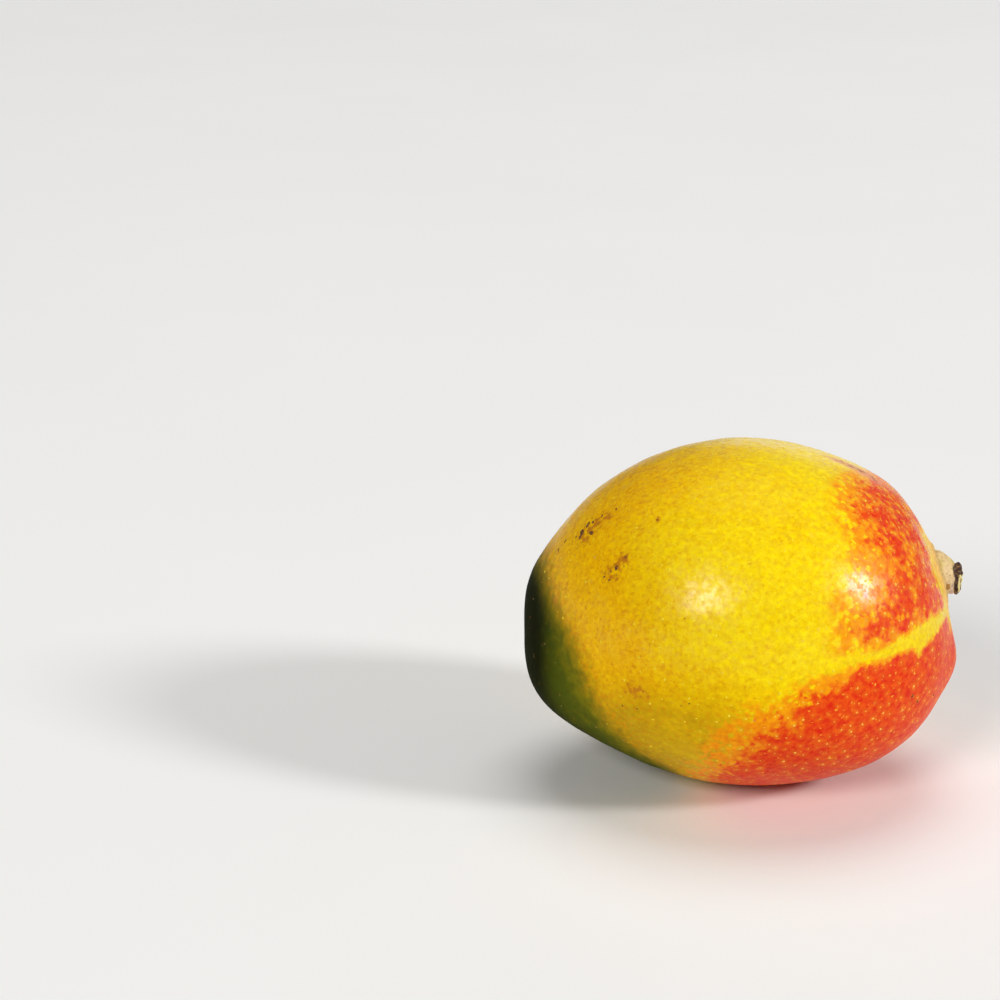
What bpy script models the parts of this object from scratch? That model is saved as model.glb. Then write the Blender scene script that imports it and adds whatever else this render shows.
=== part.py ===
"""One whole mango, lying on its side as picked, with the stub of its stem.

Metres, +Z up. +X runs along the fruit towards the stem end, and the underside's
small flat spot is at z = 0, with the origin under the middle of the object.
The fruit is a smooth egg with broad swells and hollows, which are given by the
way they face: turn is the heading in plan, in degrees from +X towards +Y, and
rise is the angle above the horizontal.
"""

import math

import bmesh
import bpy
from mathutils import Vector

MM = 0.001

# Half sizes of the plain egg that the swells and hollows are laid on
HALF_LENGTH = 54.0 * MM
HALF_WIDTH = 47.0 * MM
HALF_THICKNESS = 44.9 * MM

# Where the stem leaves the fruit
STEM_TURN = 8.2
STEM_RISE = 11.5

# Swells and hollows: turn, rise, height in mm (negative sinks), spread in degrees
SWELLS = {
    "hollow round the stem": (8.1, 11.1, -2.1, 15.4),
    "seat under the stem": (8.3, 11.7, 4.45, 5.1),
    "dimple under the stem": (8.2, 11.5, -3.4, 4.0),
    "end below the stem": (0.0, -11.1, 1.9, 5.3),
    "low shoulder": (-8.7, -31.2, 4.1, 21.5),
    "high shoulder": (18.8, 35.1, 1.7, 12.3),
    "slope above the apex": (160.8, 47.3, -0.9, 22.5),
    "beak": (192.2, -21.4, 5.2, 11.9),
    "near flank of the beak": (220.0, -20.0, 2.2, 14.0),
    "far flank of the beak": (165.0, -20.0, 2.2, 14.0),
    "apex": (182.4, 4.4, 2.5, 9.4),
    "near cheek": (-81.0, 0.0, 1.5, 38.0),
    "far cheek": (81.0, 0.0, 1.5, 38.0),
    "near side of the apex": (-142.0, 8.0, -1.4, 22.0),
    "far side of the apex": (142.0, 8.0, -1.4, 22.0),
}

# Shallow pleats that run out from the stem over the shoulders
PLEATS = 7
PLEAT_DEPTH = 0.18 * MM
PLEAT_AWAY = 15.0
PLEAT_SPREAD = 5.0

# Corky rim of skin round the foot of the stem, and the socket that the stem sits in
SOCKET_RADIUS = 6.3 * MM
SOCKET_DEPTH = 1.8 * MM
RIM_HEIGHT = 0.45 * MM
RIM_AWAY = 8.1
RIM_SPREAD = 0.8

# Height of the underside that is pressed flat where the fruit rests
FLAT_DEPTH = 0.5 * MM
FLAT_WELD = 0.15 * MM
FLAT_SNAP = 0.01 * MM

# Mesh of the fruit: points round the stem's axis, and rings from the socket to the apex
FRUIT_SIDES = 72
FRUIT_RINGS = 44
RING_CROWDING = 1.75
SOCKET_RINGS = 2

# Room between the stem and its socket
CLEARANCE = 0.3 * MM

# Rings of the stem stub in mm: height above the skin, radius, and how far it sags
STEM_SIDES = 24
STEM_RINGS = (
    (-0.3, 6.0, 0.0),
    (0.6, 5.75, 0.2),
    (1.4, 5.3, 0.75),
    (2.15, 4.75, 1.45),
    (2.7, 4.2, 2.05),
    (3.0, 3.8, 2.35),
    (3.35, 4.0, 2.5),
    (3.9, 3.95, 2.6),
    (4.35, 3.6, 2.7),
    (4.7, 2.95, 2.75),
    (4.7, 2.4, 2.75),
    (4.3, 1.8, 2.75),
)
STEM_PITH = (4.45, 0.0, 2.75)
# How far a ring tips over for each metre that it sags
STEM_LEAN = 0.1 / MM
# Ridges of the broken stub, as a share of its radius, which grow with height
STEM_RIDGES = 5
STEM_RIDGE_SHARE = 0.06
STEM_WHOLE_BELOW = 1.6 * MM
STEM_ROUGH_ABOVE = 4.7 * MM


def heading(turn, rise):
    """Unit vector of a heading in plan and a rise above the horizontal, in degrees."""
    flat = math.cos(math.radians(rise))
    return Vector(
        (
            flat * math.cos(math.radians(turn)),
            flat * math.sin(math.radians(turn)),
            math.sin(math.radians(rise)),
        )
    )


STEM_AXIS = heading(STEM_TURN, STEM_RISE)
STEM_SIDE = Vector((0, 0, 1)).cross(STEM_AXIS).normalized()
STEM_UP = STEM_AXIS.cross(STEM_SIDE)


def bell(angle, spread):
    """Bell curve of an angle and its spread, both in degrees: 1 at 0."""
    return math.exp(-0.5 * (angle / spread) ** 2)


def across_stem(around):
    """Unit vector square to the stem's axis, around radians about it."""
    return STEM_UP * math.cos(around) + STEM_SIDE * math.sin(around)


def towards(away, around):
    """Direction that lies away degrees from the stem, around degrees about its axis."""
    a = math.radians(away)
    return STEM_AXIS * math.cos(a) + across_stem(math.radians(around)) * math.sin(a)


def fruit_radius(direction):
    """Distance from the fruit's centre to its skin in a direction, with no stem detail."""
    reach = 1 / math.sqrt(
        (direction.x / HALF_LENGTH) ** 2
        + (direction.y / HALF_WIDTH) ** 2
        + (direction.z / HALF_THICKNESS) ** 2
    )
    for turn, rise, height, spread in SWELLS.values():
        angle = math.degrees(direction.angle(heading(turn, rise)))
        reach += height * MM * bell(angle, spread)
    return reach


def skin_radius(away, around):
    """Distance from the fruit's centre to its skin, with the pleats and the corky rim."""
    b = math.radians(around)
    pleat = math.cos(PLEATS * b + 1.3 * math.sin(b)) * bell(away - PLEAT_AWAY, PLEAT_SPREAD)
    lumps = 1 + 0.35 * math.sin(3 * b) + 0.25 * math.sin(8 * b)
    rim = bell(away - RIM_AWAY, RIM_SPREAD) * lumps
    return fruit_radius(towards(away, around)) + PLEAT_DEPTH * pleat + RIM_HEIGHT * rim


def closed_shell(rings, first, last):
    """Closed mesh over rings of points, from a first point to a last one."""
    shell = bmesh.new()
    start = shell.verts.new(first)
    loops = [[shell.verts.new(point) for point in ring] for ring in rings]
    end = shell.verts.new(last)
    sides = len(rings[0])
    for i in range(sides):
        j = (i + 1) % sides
        shell.faces.new((start, loops[0][j], loops[0][i]))
        shell.faces.new((end, loops[-1][i], loops[-1][j]))
        for near, far in zip(loops, loops[1:]):
            shell.faces.new((near[i], near[j], far[j], far[i]))
    bmesh.ops.recalc_face_normals(shell, faces=shell.faces)
    return shell


def finish_mesh(shell, name):
    """The mesh of a shell, shaded smooth but for its sharp edges."""
    bmesh.ops.triangulate(shell, faces=shell.faces)
    mesh = bpy.data.meshes.new(name)
    shell.to_mesh(mesh)
    shell.free()
    mesh.shade_smooth()
    mesh.set_sharp_from_angle(angle=math.radians(40))
    return mesh


def press_flat(shell):
    """Cuts the underside off level, a little above its lowest point, and closes the cut."""
    level = min(vertex.co.z for vertex in shell.verts) + FLAT_DEPTH
    everything = shell.verts[:] + shell.edges[:] + shell.faces[:]
    bmesh.ops.bisect_plane(
        shell, geom=everything, plane_co=(0, 0, level), plane_no=(0, 0, -1), clear_outer=True
    )
    bmesh.ops.holes_fill(shell, edges=[edge for edge in shell.edges if edge.is_boundary])
    bmesh.ops.remove_doubles(shell, verts=shell.verts, dist=FLAT_WELD)
    for vertex in shell.verts:
        if vertex.co.z < level + FLAT_SNAP:
            vertex.co.z = level
    return level


def fruit_shell():
    """The fruit about its own centre, with its flat spot, and the level of that spot."""
    seat = skin_radius(0, 0)
    socket_edge = math.degrees(math.asin(SOCKET_RADIUS / seat))
    floor = seat - SOCKET_DEPTH
    around = [360 * k / FRUIT_SIDES for k in range(FRUIT_SIDES)]
    rings = []
    for i in range(1, SOCKET_RINGS + 1):
        away = socket_edge * i / SOCKET_RINGS
        rings.append([towards(away, b) * floor for b in around])
    for i in range(FRUIT_RINGS):
        away = socket_edge + (180 - socket_edge) * (i / FRUIT_RINGS) ** RING_CROWDING
        rings.append([towards(away, b) * skin_radius(away, b) for b in around])
    shell = closed_shell(rings, STEM_AXIS * floor, -STEM_AXIS * skin_radius(180, 0))
    return shell, press_flat(shell)


def stem_point(height, radius, sag, around):
    """Point of the stem stub on a ring of a height, a radius and a sag, in metres."""
    rough = max(0.0, height - STEM_WHOLE_BELOW) / (STEM_ROUGH_ABOVE - STEM_WHOLE_BELOW)
    ridges = STEM_RIDGE_SHARE * math.cos(STEM_RIDGES * around + 2.0 * math.sin(around))
    reach = radius * (1 + rough * (ridges + 0.05 * math.cos(2 * around + 0.6)))
    tip = STEM_LEAN * sag * reach * math.cos(around)
    middle = STEM_AXIS * (skin_radius(0, 0) + height + tip) - STEM_UP * sag
    return middle + across_stem(around) * reach


def stem_shell():
    """The stem stub: a root in the socket, a lopsided cone, a neck and the broken cap."""
    root = (CLEARANCE - SOCKET_DEPTH, SOCKET_RADIUS - CLEARANCE, 0.0)
    rings = [root] + [tuple(value * MM for value in ring) for ring in STEM_RINGS]
    around = [2 * math.pi * k / STEM_SIDES for k in range(STEM_SIDES)]
    loops = [[stem_point(*ring, b) for b in around] for ring in rings]
    pith = stem_point(*(value * MM for value in STEM_PITH), 0)
    return closed_shell(loops, stem_point(root[0], 0, 0, 0), pith)


def paint(name, color, roughness):
    """Material with a plain colour and roughness."""
    material = bpy.data.materials.new(name)
    material.use_nodes = True
    shader = material.node_tree.nodes["Principled BSDF"]
    shader.inputs["Base Color"].default_value = (*color, 1)
    shader.inputs["Roughness"].default_value = roughness
    shader.inputs["Metallic"].default_value = 0
    material.diffuse_color = (*color, 1)
    return material


def add(name, mesh, material, carrier):
    """Puts a mesh in the scene under the empty that carries the mango."""
    mesh.materials.append(material)
    piece = bpy.data.objects.new(name, mesh)
    piece.parent = carrier
    bpy.context.scene.collection.objects.link(piece)


def main():
    """Builds the fruit and its stem about the fruit's centre, then stands them on z = 0."""
    for old in list(bpy.data.objects):
        bpy.data.objects.remove(old)
    fruit, level = fruit_shell()
    stem = stem_shell()
    corners = [vertex.co.copy() for shell in (fruit, stem) for vertex in shell.verts]
    carrier = bpy.data.objects.new("mango", None)
    carrier.location = (
        -(min(c.x for c in corners) + max(c.x for c in corners)) / 2,
        -(min(c.y for c in corners) + max(c.y for c in corners)) / 2,
        -level,
    )
    bpy.context.scene.collection.objects.link(carrier)
    add("fruit", finish_mesh(fruit, "fruit"), paint("skin", (0.86, 0.56, 0.05), 0.36), carrier)
    add("stem", finish_mesh(stem, "stem"), paint("bark", (0.30, 0.19, 0.10), 0.8), carrier)


main()
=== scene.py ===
"""A ripe mango lying on a pale floor: yellow and gold skin, a red blush, a green beak, a stem stub.

Metres, +Z up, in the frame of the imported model, with +X along the fruit towards its stem end.
Marks on the skin are placed by the way they face from the fruit's centre: turn is the heading
in plan, in degrees from +X towards +Y, and rise is the angle above the horizontal.
"""

import logging
import math
from dataclasses import dataclass, field
from enum import Enum

import bpy
import numpy as np
from mathutils import Matrix, Vector
from mathutils.kdtree import KDTree


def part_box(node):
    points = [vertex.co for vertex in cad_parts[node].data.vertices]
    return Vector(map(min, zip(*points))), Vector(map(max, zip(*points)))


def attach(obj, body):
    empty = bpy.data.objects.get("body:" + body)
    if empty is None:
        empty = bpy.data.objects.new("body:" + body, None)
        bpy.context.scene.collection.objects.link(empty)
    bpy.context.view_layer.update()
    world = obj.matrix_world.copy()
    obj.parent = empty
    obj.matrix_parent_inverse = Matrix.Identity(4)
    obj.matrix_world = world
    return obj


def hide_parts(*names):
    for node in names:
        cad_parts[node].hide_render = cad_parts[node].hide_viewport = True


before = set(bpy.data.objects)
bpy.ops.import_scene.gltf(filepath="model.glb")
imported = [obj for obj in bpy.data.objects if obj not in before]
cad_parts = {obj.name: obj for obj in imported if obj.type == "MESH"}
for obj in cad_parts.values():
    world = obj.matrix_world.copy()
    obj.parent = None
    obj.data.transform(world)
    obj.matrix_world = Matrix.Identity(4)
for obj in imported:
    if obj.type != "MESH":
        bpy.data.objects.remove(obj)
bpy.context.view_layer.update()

MM = 0.001
log = logging.getLogger("mango")

Colour = tuple[float, float, float]
Socket = bpy.types.NodeSocket
Term = Socket | float
Headings = tuple[tuple[float, float, float], ...]
Faces = list[tuple[int, ...]]


class Mark(Enum):
    """What varies over the skin, by the name of the mesh attribute that holds its strength."""

    BLUSH = "blush"
    GREEN = "green"
    # Painted shade: how far the beak's end is darkened in the skin colour
    SHADE = "shade"
    OLIVE = "olive"
    GOLD = "gold"
    # Cream ring round the stem, together with a painted sheen along the top edges
    CREAM_AND_SHEEN = "cream"
    CORK = "cork"
    RUSSET = "russet"
    SCAR = "scar"
    WAX = "wax"
    HALO = "halo"
    DOTS = "dots"


class StemMark(Enum):
    """What varies over the stem stub, by the name of the mesh attribute that holds it."""

    CAP = "cap"
    WOOD = "wood"
    PITH = "pith"
    MAUVE_BELOW = "mauve_below"
    SPOT = "spot"


def unit(vectors: np.ndarray) -> np.ndarray:
    """Vectors of length 1 along the given ones."""
    return vectors / np.linalg.norm(vectors, axis=-1, keepdims=True)


def heading(turn: float, rise: float) -> np.ndarray:
    """Unit vector of a heading in plan and a rise above the horizontal, in degrees."""
    t, r = math.radians(turn), math.radians(rise)
    return np.array([math.cos(r) * math.cos(t), math.cos(r) * math.sin(t), math.sin(r)])


def smooth(share: np.ndarray) -> np.ndarray:
    """Soft step from 0 at 0 to 1 at 1."""
    s = np.clip(share, 0.0, 1.0)
    return s * s * (3.0 - 2.0 * s)


def bell(angle: np.ndarray, spread: float) -> np.ndarray:
    """Bell curve of an angle and its spread, in the same unit: 1 at 0."""
    return np.exp(-0.5 * (angle / spread) ** 2)


def angle_between(directions: np.ndarray, middle: np.ndarray) -> np.ndarray:
    """Degrees between each direction and one direction."""
    return np.degrees(np.arccos(np.clip(directions @ middle, -1.0, 1.0)))


def flat_map(middle: np.ndarray, directions: np.ndarray) -> np.ndarray:
    """Lays directions out flat round a middle one, true in distance and bearing from it.

    Args:
        middle: Unit vector at the map's origin.
        directions: Unit vectors, one a row.

    Returns:
        Two columns in degrees, east and north of the middle.
    """
    east = unit(np.cross([0.0, 0.0, 1.0], middle))
    north = np.cross(middle, east)
    x, y = directions @ east, directions @ north
    length = np.hypot(x, y) + 1e-9
    away = angle_between(directions, middle)
    return np.stack([away * x / length, away * y / length], axis=-1)


@dataclass(frozen=True)
class Area:
    """Patch of the skin with a closed edge.

    The edge's points are a turn, a rise and the softness of the edge there, in degrees.
    """

    edge: Headings

    def inside(self, directions: np.ndarray) -> tuple[np.ndarray, np.ndarray]:
        """How far inside the edge each direction lies, and how soft the edge is next to it.

        Args:
            directions: Unit vectors, one a row.

        Returns:
            Degrees inside the edge, negative outside it, and the softness in degrees.
        """
        corners = np.array([heading(turn, rise) for turn, rise, _ in self.edge])
        middle = unit(corners.sum(axis=0))
        edge, points = flat_map(middle, corners), flat_map(middle, directions)
        softness = [point[2] for point in self.edge]
        nearest = np.full(len(points), 1e9)
        soft = np.ones(len(points))
        within = np.zeros(len(points), bool)
        for k, here in enumerate(edge):
            after = (k + 1) % len(edge)
            along = edge[after] - here
            share = np.clip(((points - here) @ along) / (along @ along), 0.0, 1.0)
            gap = np.linalg.norm(points - here - share[:, None] * along, axis=1)
            closer = gap < nearest
            nearest = np.where(closer, gap, nearest)
            mixed = softness[k] + (softness[after] - softness[k]) * share
            soft = np.where(closer, mixed, soft)
            climb = along[1] if along[1] else 1.0
            meets = here[0] + along[0] * (points[:, 1] - here[1]) / climb
            crosses = (here[1] > points[:, 1]) != (edge[after][1] > points[:, 1])
            within ^= crosses & (points[:, 0] < meets)
        return np.where(within, nearest, -nearest), soft

    def strength(self, directions: np.ndarray) -> np.ndarray:
        """Soft mask of the patch at unit vectors: 1 well inside it, and 0 outside."""
        depth, soft = self.inside(directions)
        return smooth(0.5 + 0.5 * depth / soft)


@dataclass(frozen=True)
class Stroke:
    """Line of colour on the skin: points of turn, rise and half width, with one soft edge."""

    line: Headings
    soft: float

    def strength(self, directions: np.ndarray) -> np.ndarray:
        """Soft mask of the line.

        Args:
            directions: Unit vectors, one a row.

        Returns:
            One value from 0 to 1 for each direction.
        """
        corners = np.array([heading(turn, rise) for turn, rise, _ in self.line])
        middle = unit(corners.sum(axis=0))
        line, points = flat_map(middle, corners), flat_map(middle, directions)
        best = np.full(len(points), -1e9)
        for k in range(len(line) - 1):
            along = line[k + 1] - line[k]
            share = np.clip(((points - line[k]) @ along) / (along @ along), 0.0, 1.0)
            gap = np.linalg.norm(points - line[k] - share[:, None] * along, axis=1)
            width = self.line[k][2] + (self.line[k + 1][2] - self.line[k][2]) * share
            best = np.maximum(best, width - gap)
        return smooth(0.5 + 0.5 * best / self.soft)


@dataclass(frozen=True)
class Cloud:
    """Round soft patch: the way its middle faces, its spread in degrees and its strength."""

    turn: float
    rise: float
    spread: float
    amount: float = 1.0

    def strength(self, directions: np.ndarray) -> np.ndarray:
        """Strength of the patch at unit vectors, one a row."""
        angle = angle_between(directions, heading(self.turn, self.rise))
        return self.amount * bell(angle, self.spread)


@dataclass(frozen=True)
class Ripples:
    """Irregular waves through space, for the skin's unevenness, from a seeded draw."""

    seed: int
    shortest: float
    longest: float
    height: float
    waves: int = 28

    def at(self, points: np.ndarray) -> np.ndarray:
        """Height of the waves.

        Args:
            points: Places in metres, one a row.

        Returns:
            Metres up or down, one for each point.
        """
        draw = np.random.default_rng(self.seed)
        push = unit(draw.normal(size=(self.waves, 3)))
        length = draw.uniform(self.shortest, self.longest, self.waves)
        phase = draw.uniform(0.0, 2.0 * math.pi, self.waves)
        total = np.zeros(len(points))
        for way, size, start in zip(push, length, phase):
            total += np.sin(points @ way * (2.0 * math.pi / size) + start)
        return total * self.height / math.sqrt(self.waves)


@dataclass(frozen=True)
class Swell:
    """Broad swell or hollow: the way it faces, its height in mm and its spread in degrees."""

    name: str
    turn: float
    rise: float
    height: float
    spread: float


@dataclass(frozen=True)
class FruitForm:
    """Shape of the fruit about its own centre, as its CAD solid has it, with finer relief."""

    half_length: float = 54.0 * MM
    half_width: float = 47.0 * MM
    half_thickness: float = 44.9 * MM
    stem_turn: float = 8.2
    stem_rise: float = 11.5
    swells: tuple[Swell, ...] = (
        Swell("hollow round the stem", 8.1, 11.1, -2.1, 15.4),
        Swell("seat under the stem", 8.3, 11.7, 4.45, 5.1),
        Swell("dimple under the stem", 8.2, 11.5, -3.4, 4.0),
        Swell("end below the stem", 0.0, -11.1, 1.9, 5.3),
        Swell("low shoulder", -8.7, -31.2, 4.1, 21.5),
        Swell("high shoulder", 18.8, 35.1, 1.7, 12.3),
        Swell("slope above the apex", 160.8, 47.3, -0.9, 22.5),
        Swell("beak", 192.2, -21.4, 5.2, 11.9),
        Swell("near flank of the beak", 220.0, -20.0, 2.2, 14.0),
        Swell("far flank of the beak", 165.0, -20.0, 2.2, 14.0),
        Swell("apex", 182.4, 4.4, 2.5, 9.4),
        Swell("near cheek", -81.0, 0.0, 1.5, 38.0),
        Swell("far cheek", 81.0, 0.0, 1.5, 38.0),
        Swell("near side of the apex", -142.0, 8.0, -1.4, 22.0),
        Swell("far side of the apex", 142.0, 8.0, -1.4, 22.0),
    )
    pleats: int = 7
    pleat_depth: float = 0.18 * MM
    pleat_away: float = 15.0
    pleat_spread: float = 5.0
    pleat_sway: float = 1.3
    rim_height: float = 0.25 * MM
    rim_away: float = 8.1
    rim_spread: float = 0.8
    rim_lumps: tuple[tuple[float, float], ...] = ((3.0, 0.35), (8.0, 0.25))
    socket_radius: float = 6.3 * MM
    socket_depth: float = 1.8 * MM
    flat_depth: float = 0.5 * MM
    unevenness: Ripples = Ripples(seed=11, shortest=6 * MM, longest=16 * MM, height=0.05 * MM)
    cork_lumps: Ripples = Ripples(seed=12, shortest=1.2 * MM, longest=3 * MM, height=0.06 * MM)

    @property
    def axis(self) -> np.ndarray:
        """Unit vector along the stem, out of the fruit."""
        return heading(self.stem_turn, self.stem_rise)

    @property
    def side(self) -> np.ndarray:
        """Unit vector square to the stem, level, on the far side from the camera."""
        return unit(np.cross([0.0, 0.0, 1.0], self.axis))

    @property
    def up(self) -> np.ndarray:
        """Unit vector square to the stem, upwards."""
        return np.cross(self.axis, self.side)

    def across(self, around: np.ndarray) -> np.ndarray:
        """Unit vectors square to the stem, at radians about it."""
        return np.cos(around)[..., None] * self.up + np.sin(around)[..., None] * self.side

    def towards(self, away: float, around: np.ndarray) -> np.ndarray:
        """Directions away degrees from the stem, around radians about it."""
        a = math.radians(away)
        return self.axis * math.cos(a) + self.across(around) * math.sin(a)

    def away(self, directions: np.ndarray) -> np.ndarray:
        """Degrees between the stem and each direction."""
        return angle_between(directions, self.axis)

    def around(self, directions: np.ndarray) -> np.ndarray:
        """Radians about the stem of each direction, from upwards towards the far side."""
        return np.arctan2(directions @ self.side, directions @ self.up)

    def rim(self, directions: np.ndarray) -> np.ndarray:
        """Strength of the corky rim round the foot of the stem.

        Args:
            directions: Unit vectors, one a row.

        Returns:
            About 1 on the rim and 0 elsewhere, one value for each direction.
        """
        b = self.around(directions)
        lumps = np.ones(len(b))
        for count, height in self.rim_lumps:
            lumps += height * np.sin(count * b)
        return bell(self.away(directions) - self.rim_away, self.rim_spread) * lumps

    def skin_radius(self, directions: np.ndarray) -> np.ndarray:
        """Distance from the centre to the skin.

        Args:
            directions: Unit vectors, one a row.

        Returns:
            Metres from the centre, one for each direction.
        """
        halves = np.array([self.half_length, self.half_width, self.half_thickness])
        reach = 1.0 / np.linalg.norm(directions / halves, axis=1)
        for swell in self.swells:
            angle = angle_between(directions, heading(swell.turn, swell.rise))
            reach += swell.height * MM * bell(angle, swell.spread)
        away, b = self.away(directions), self.around(directions)
        pleat = np.cos(self.pleats * b + self.pleat_sway * np.sin(b))
        reach += self.pleat_depth * pleat * bell(away - self.pleat_away, self.pleat_spread)
        rim = self.rim(directions)
        points = directions * reach[:, None]
        calm = smooth((away - self.rim_away) / self.pleat_spread)
        reach += self.rim_height * rim + self.unevenness.at(points) * calm
        return reach + self.cork_lumps.at(points) * np.clip(rim, 0.0, 1.0)

    @property
    def seat(self) -> float:
        """Distance from the centre to the skin under the stem."""
        return float(self.skin_radius(self.axis[None])[0])


@dataclass(frozen=True)
class Fit:
    """Scale and shift that put points of the form into the row's frame."""

    scale: np.ndarray
    shift: np.ndarray

    @classmethod
    def into_box(cls, points: np.ndarray, node: str, margin: float, floor: bool) -> "Fit":
        """Fits points into the box of a CAD node.

        Args:
            points: The points to fit, one a row.
            node: Name of the CAD node.
            margin: Room left to each side of the box, in metres.
            floor: True where the lowest points stand on the bottom of the box.

        Returns:
            The fit, which barely stretches the points because the node has the same shape.
        """
        low, high = (np.array(corner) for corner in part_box(node))
        low = low + margin * np.array([1.0, 1.0, 0.0 if floor else 1.0])
        high = high - margin
        scale = (high - low) / (points.max(axis=0) - points.min(axis=0))
        return cls(scale, low - scale * points.min(axis=0))

    def place(self, points: np.ndarray) -> np.ndarray:
        """The points in the row's frame."""
        return points * self.scale + self.shift


def lathe_mesh(name: str, loops: np.ndarray, first: np.ndarray, last: np.ndarray) -> bpy.types.Mesh:
    """Closed smooth mesh over rings of points, with its faces outwards.

    Args:
        name: Name of the mesh.
        loops: Points of the rings, as rings by sides by 3.
        first: Point that closes the first ring.
        last: Point that closes the last ring.

    Returns:
        The mesh, whose points are the rings' in order and then the two closing ones.
    """
    rings, sides, _ = loops.shape
    points = np.concatenate([loops.reshape(-1, 3), [first], [last]])
    here = np.arange(rings * sides).reshape(rings, sides)
    after = np.roll(here, -1, axis=1)
    quads = np.stack([here[:-1], after[:-1], after[1:], here[1:]], axis=-1).reshape(-1, 4)
    start, end = rings * sides, rings * sides + 1
    faces = quads.tolist()
    faces += [(start, b, a) for a, b in zip(here[0].tolist(), after[0].tolist())]
    faces += [(end, a, b) for a, b in zip(here[-1].tolist(), after[-1].tolist())]
    corner = points[quads]
    spans = np.cross(corner[:, 2] - corner[:, 0], corner[:, 3] - corner[:, 1])
    outwards = float(np.sum(spans * (corner.mean(axis=1) - points.mean(axis=0)))) > 0.0
    if not outwards:
        faces = [face[::-1] for face in faces]
    mesh = bpy.data.meshes.new(name)
    mesh.from_pydata(points.tolist(), [], faces)
    mesh.shade_smooth()
    return mesh


def write_attribute(mesh: bpy.types.Mesh, name: str, values: np.ndarray) -> None:
    """Stores one value a point on a mesh, under a name that its material reads."""
    layer = mesh.attributes.new(name, "FLOAT", "POINT")
    layer.data.foreach_set("value", np.asarray(values, np.float32))


def add_piece(name: str, mesh: bpy.types.Mesh) -> bpy.types.Object:
    """Puts a finished mesh in the scene as a piece that rides on the mango's one body.

    Args:
        name: Name of the piece.
        mesh: Its mesh, in the row's frame.

    Returns:
        The piece.
    """
    piece = bpy.data.objects.new(name, mesh)
    bpy.context.scene.collection.objects.link(piece)
    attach(piece, "root")
    log.info("%s: %d points, %d faces", name, len(mesh.vertices), len(mesh.polygons))
    return piece


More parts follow.
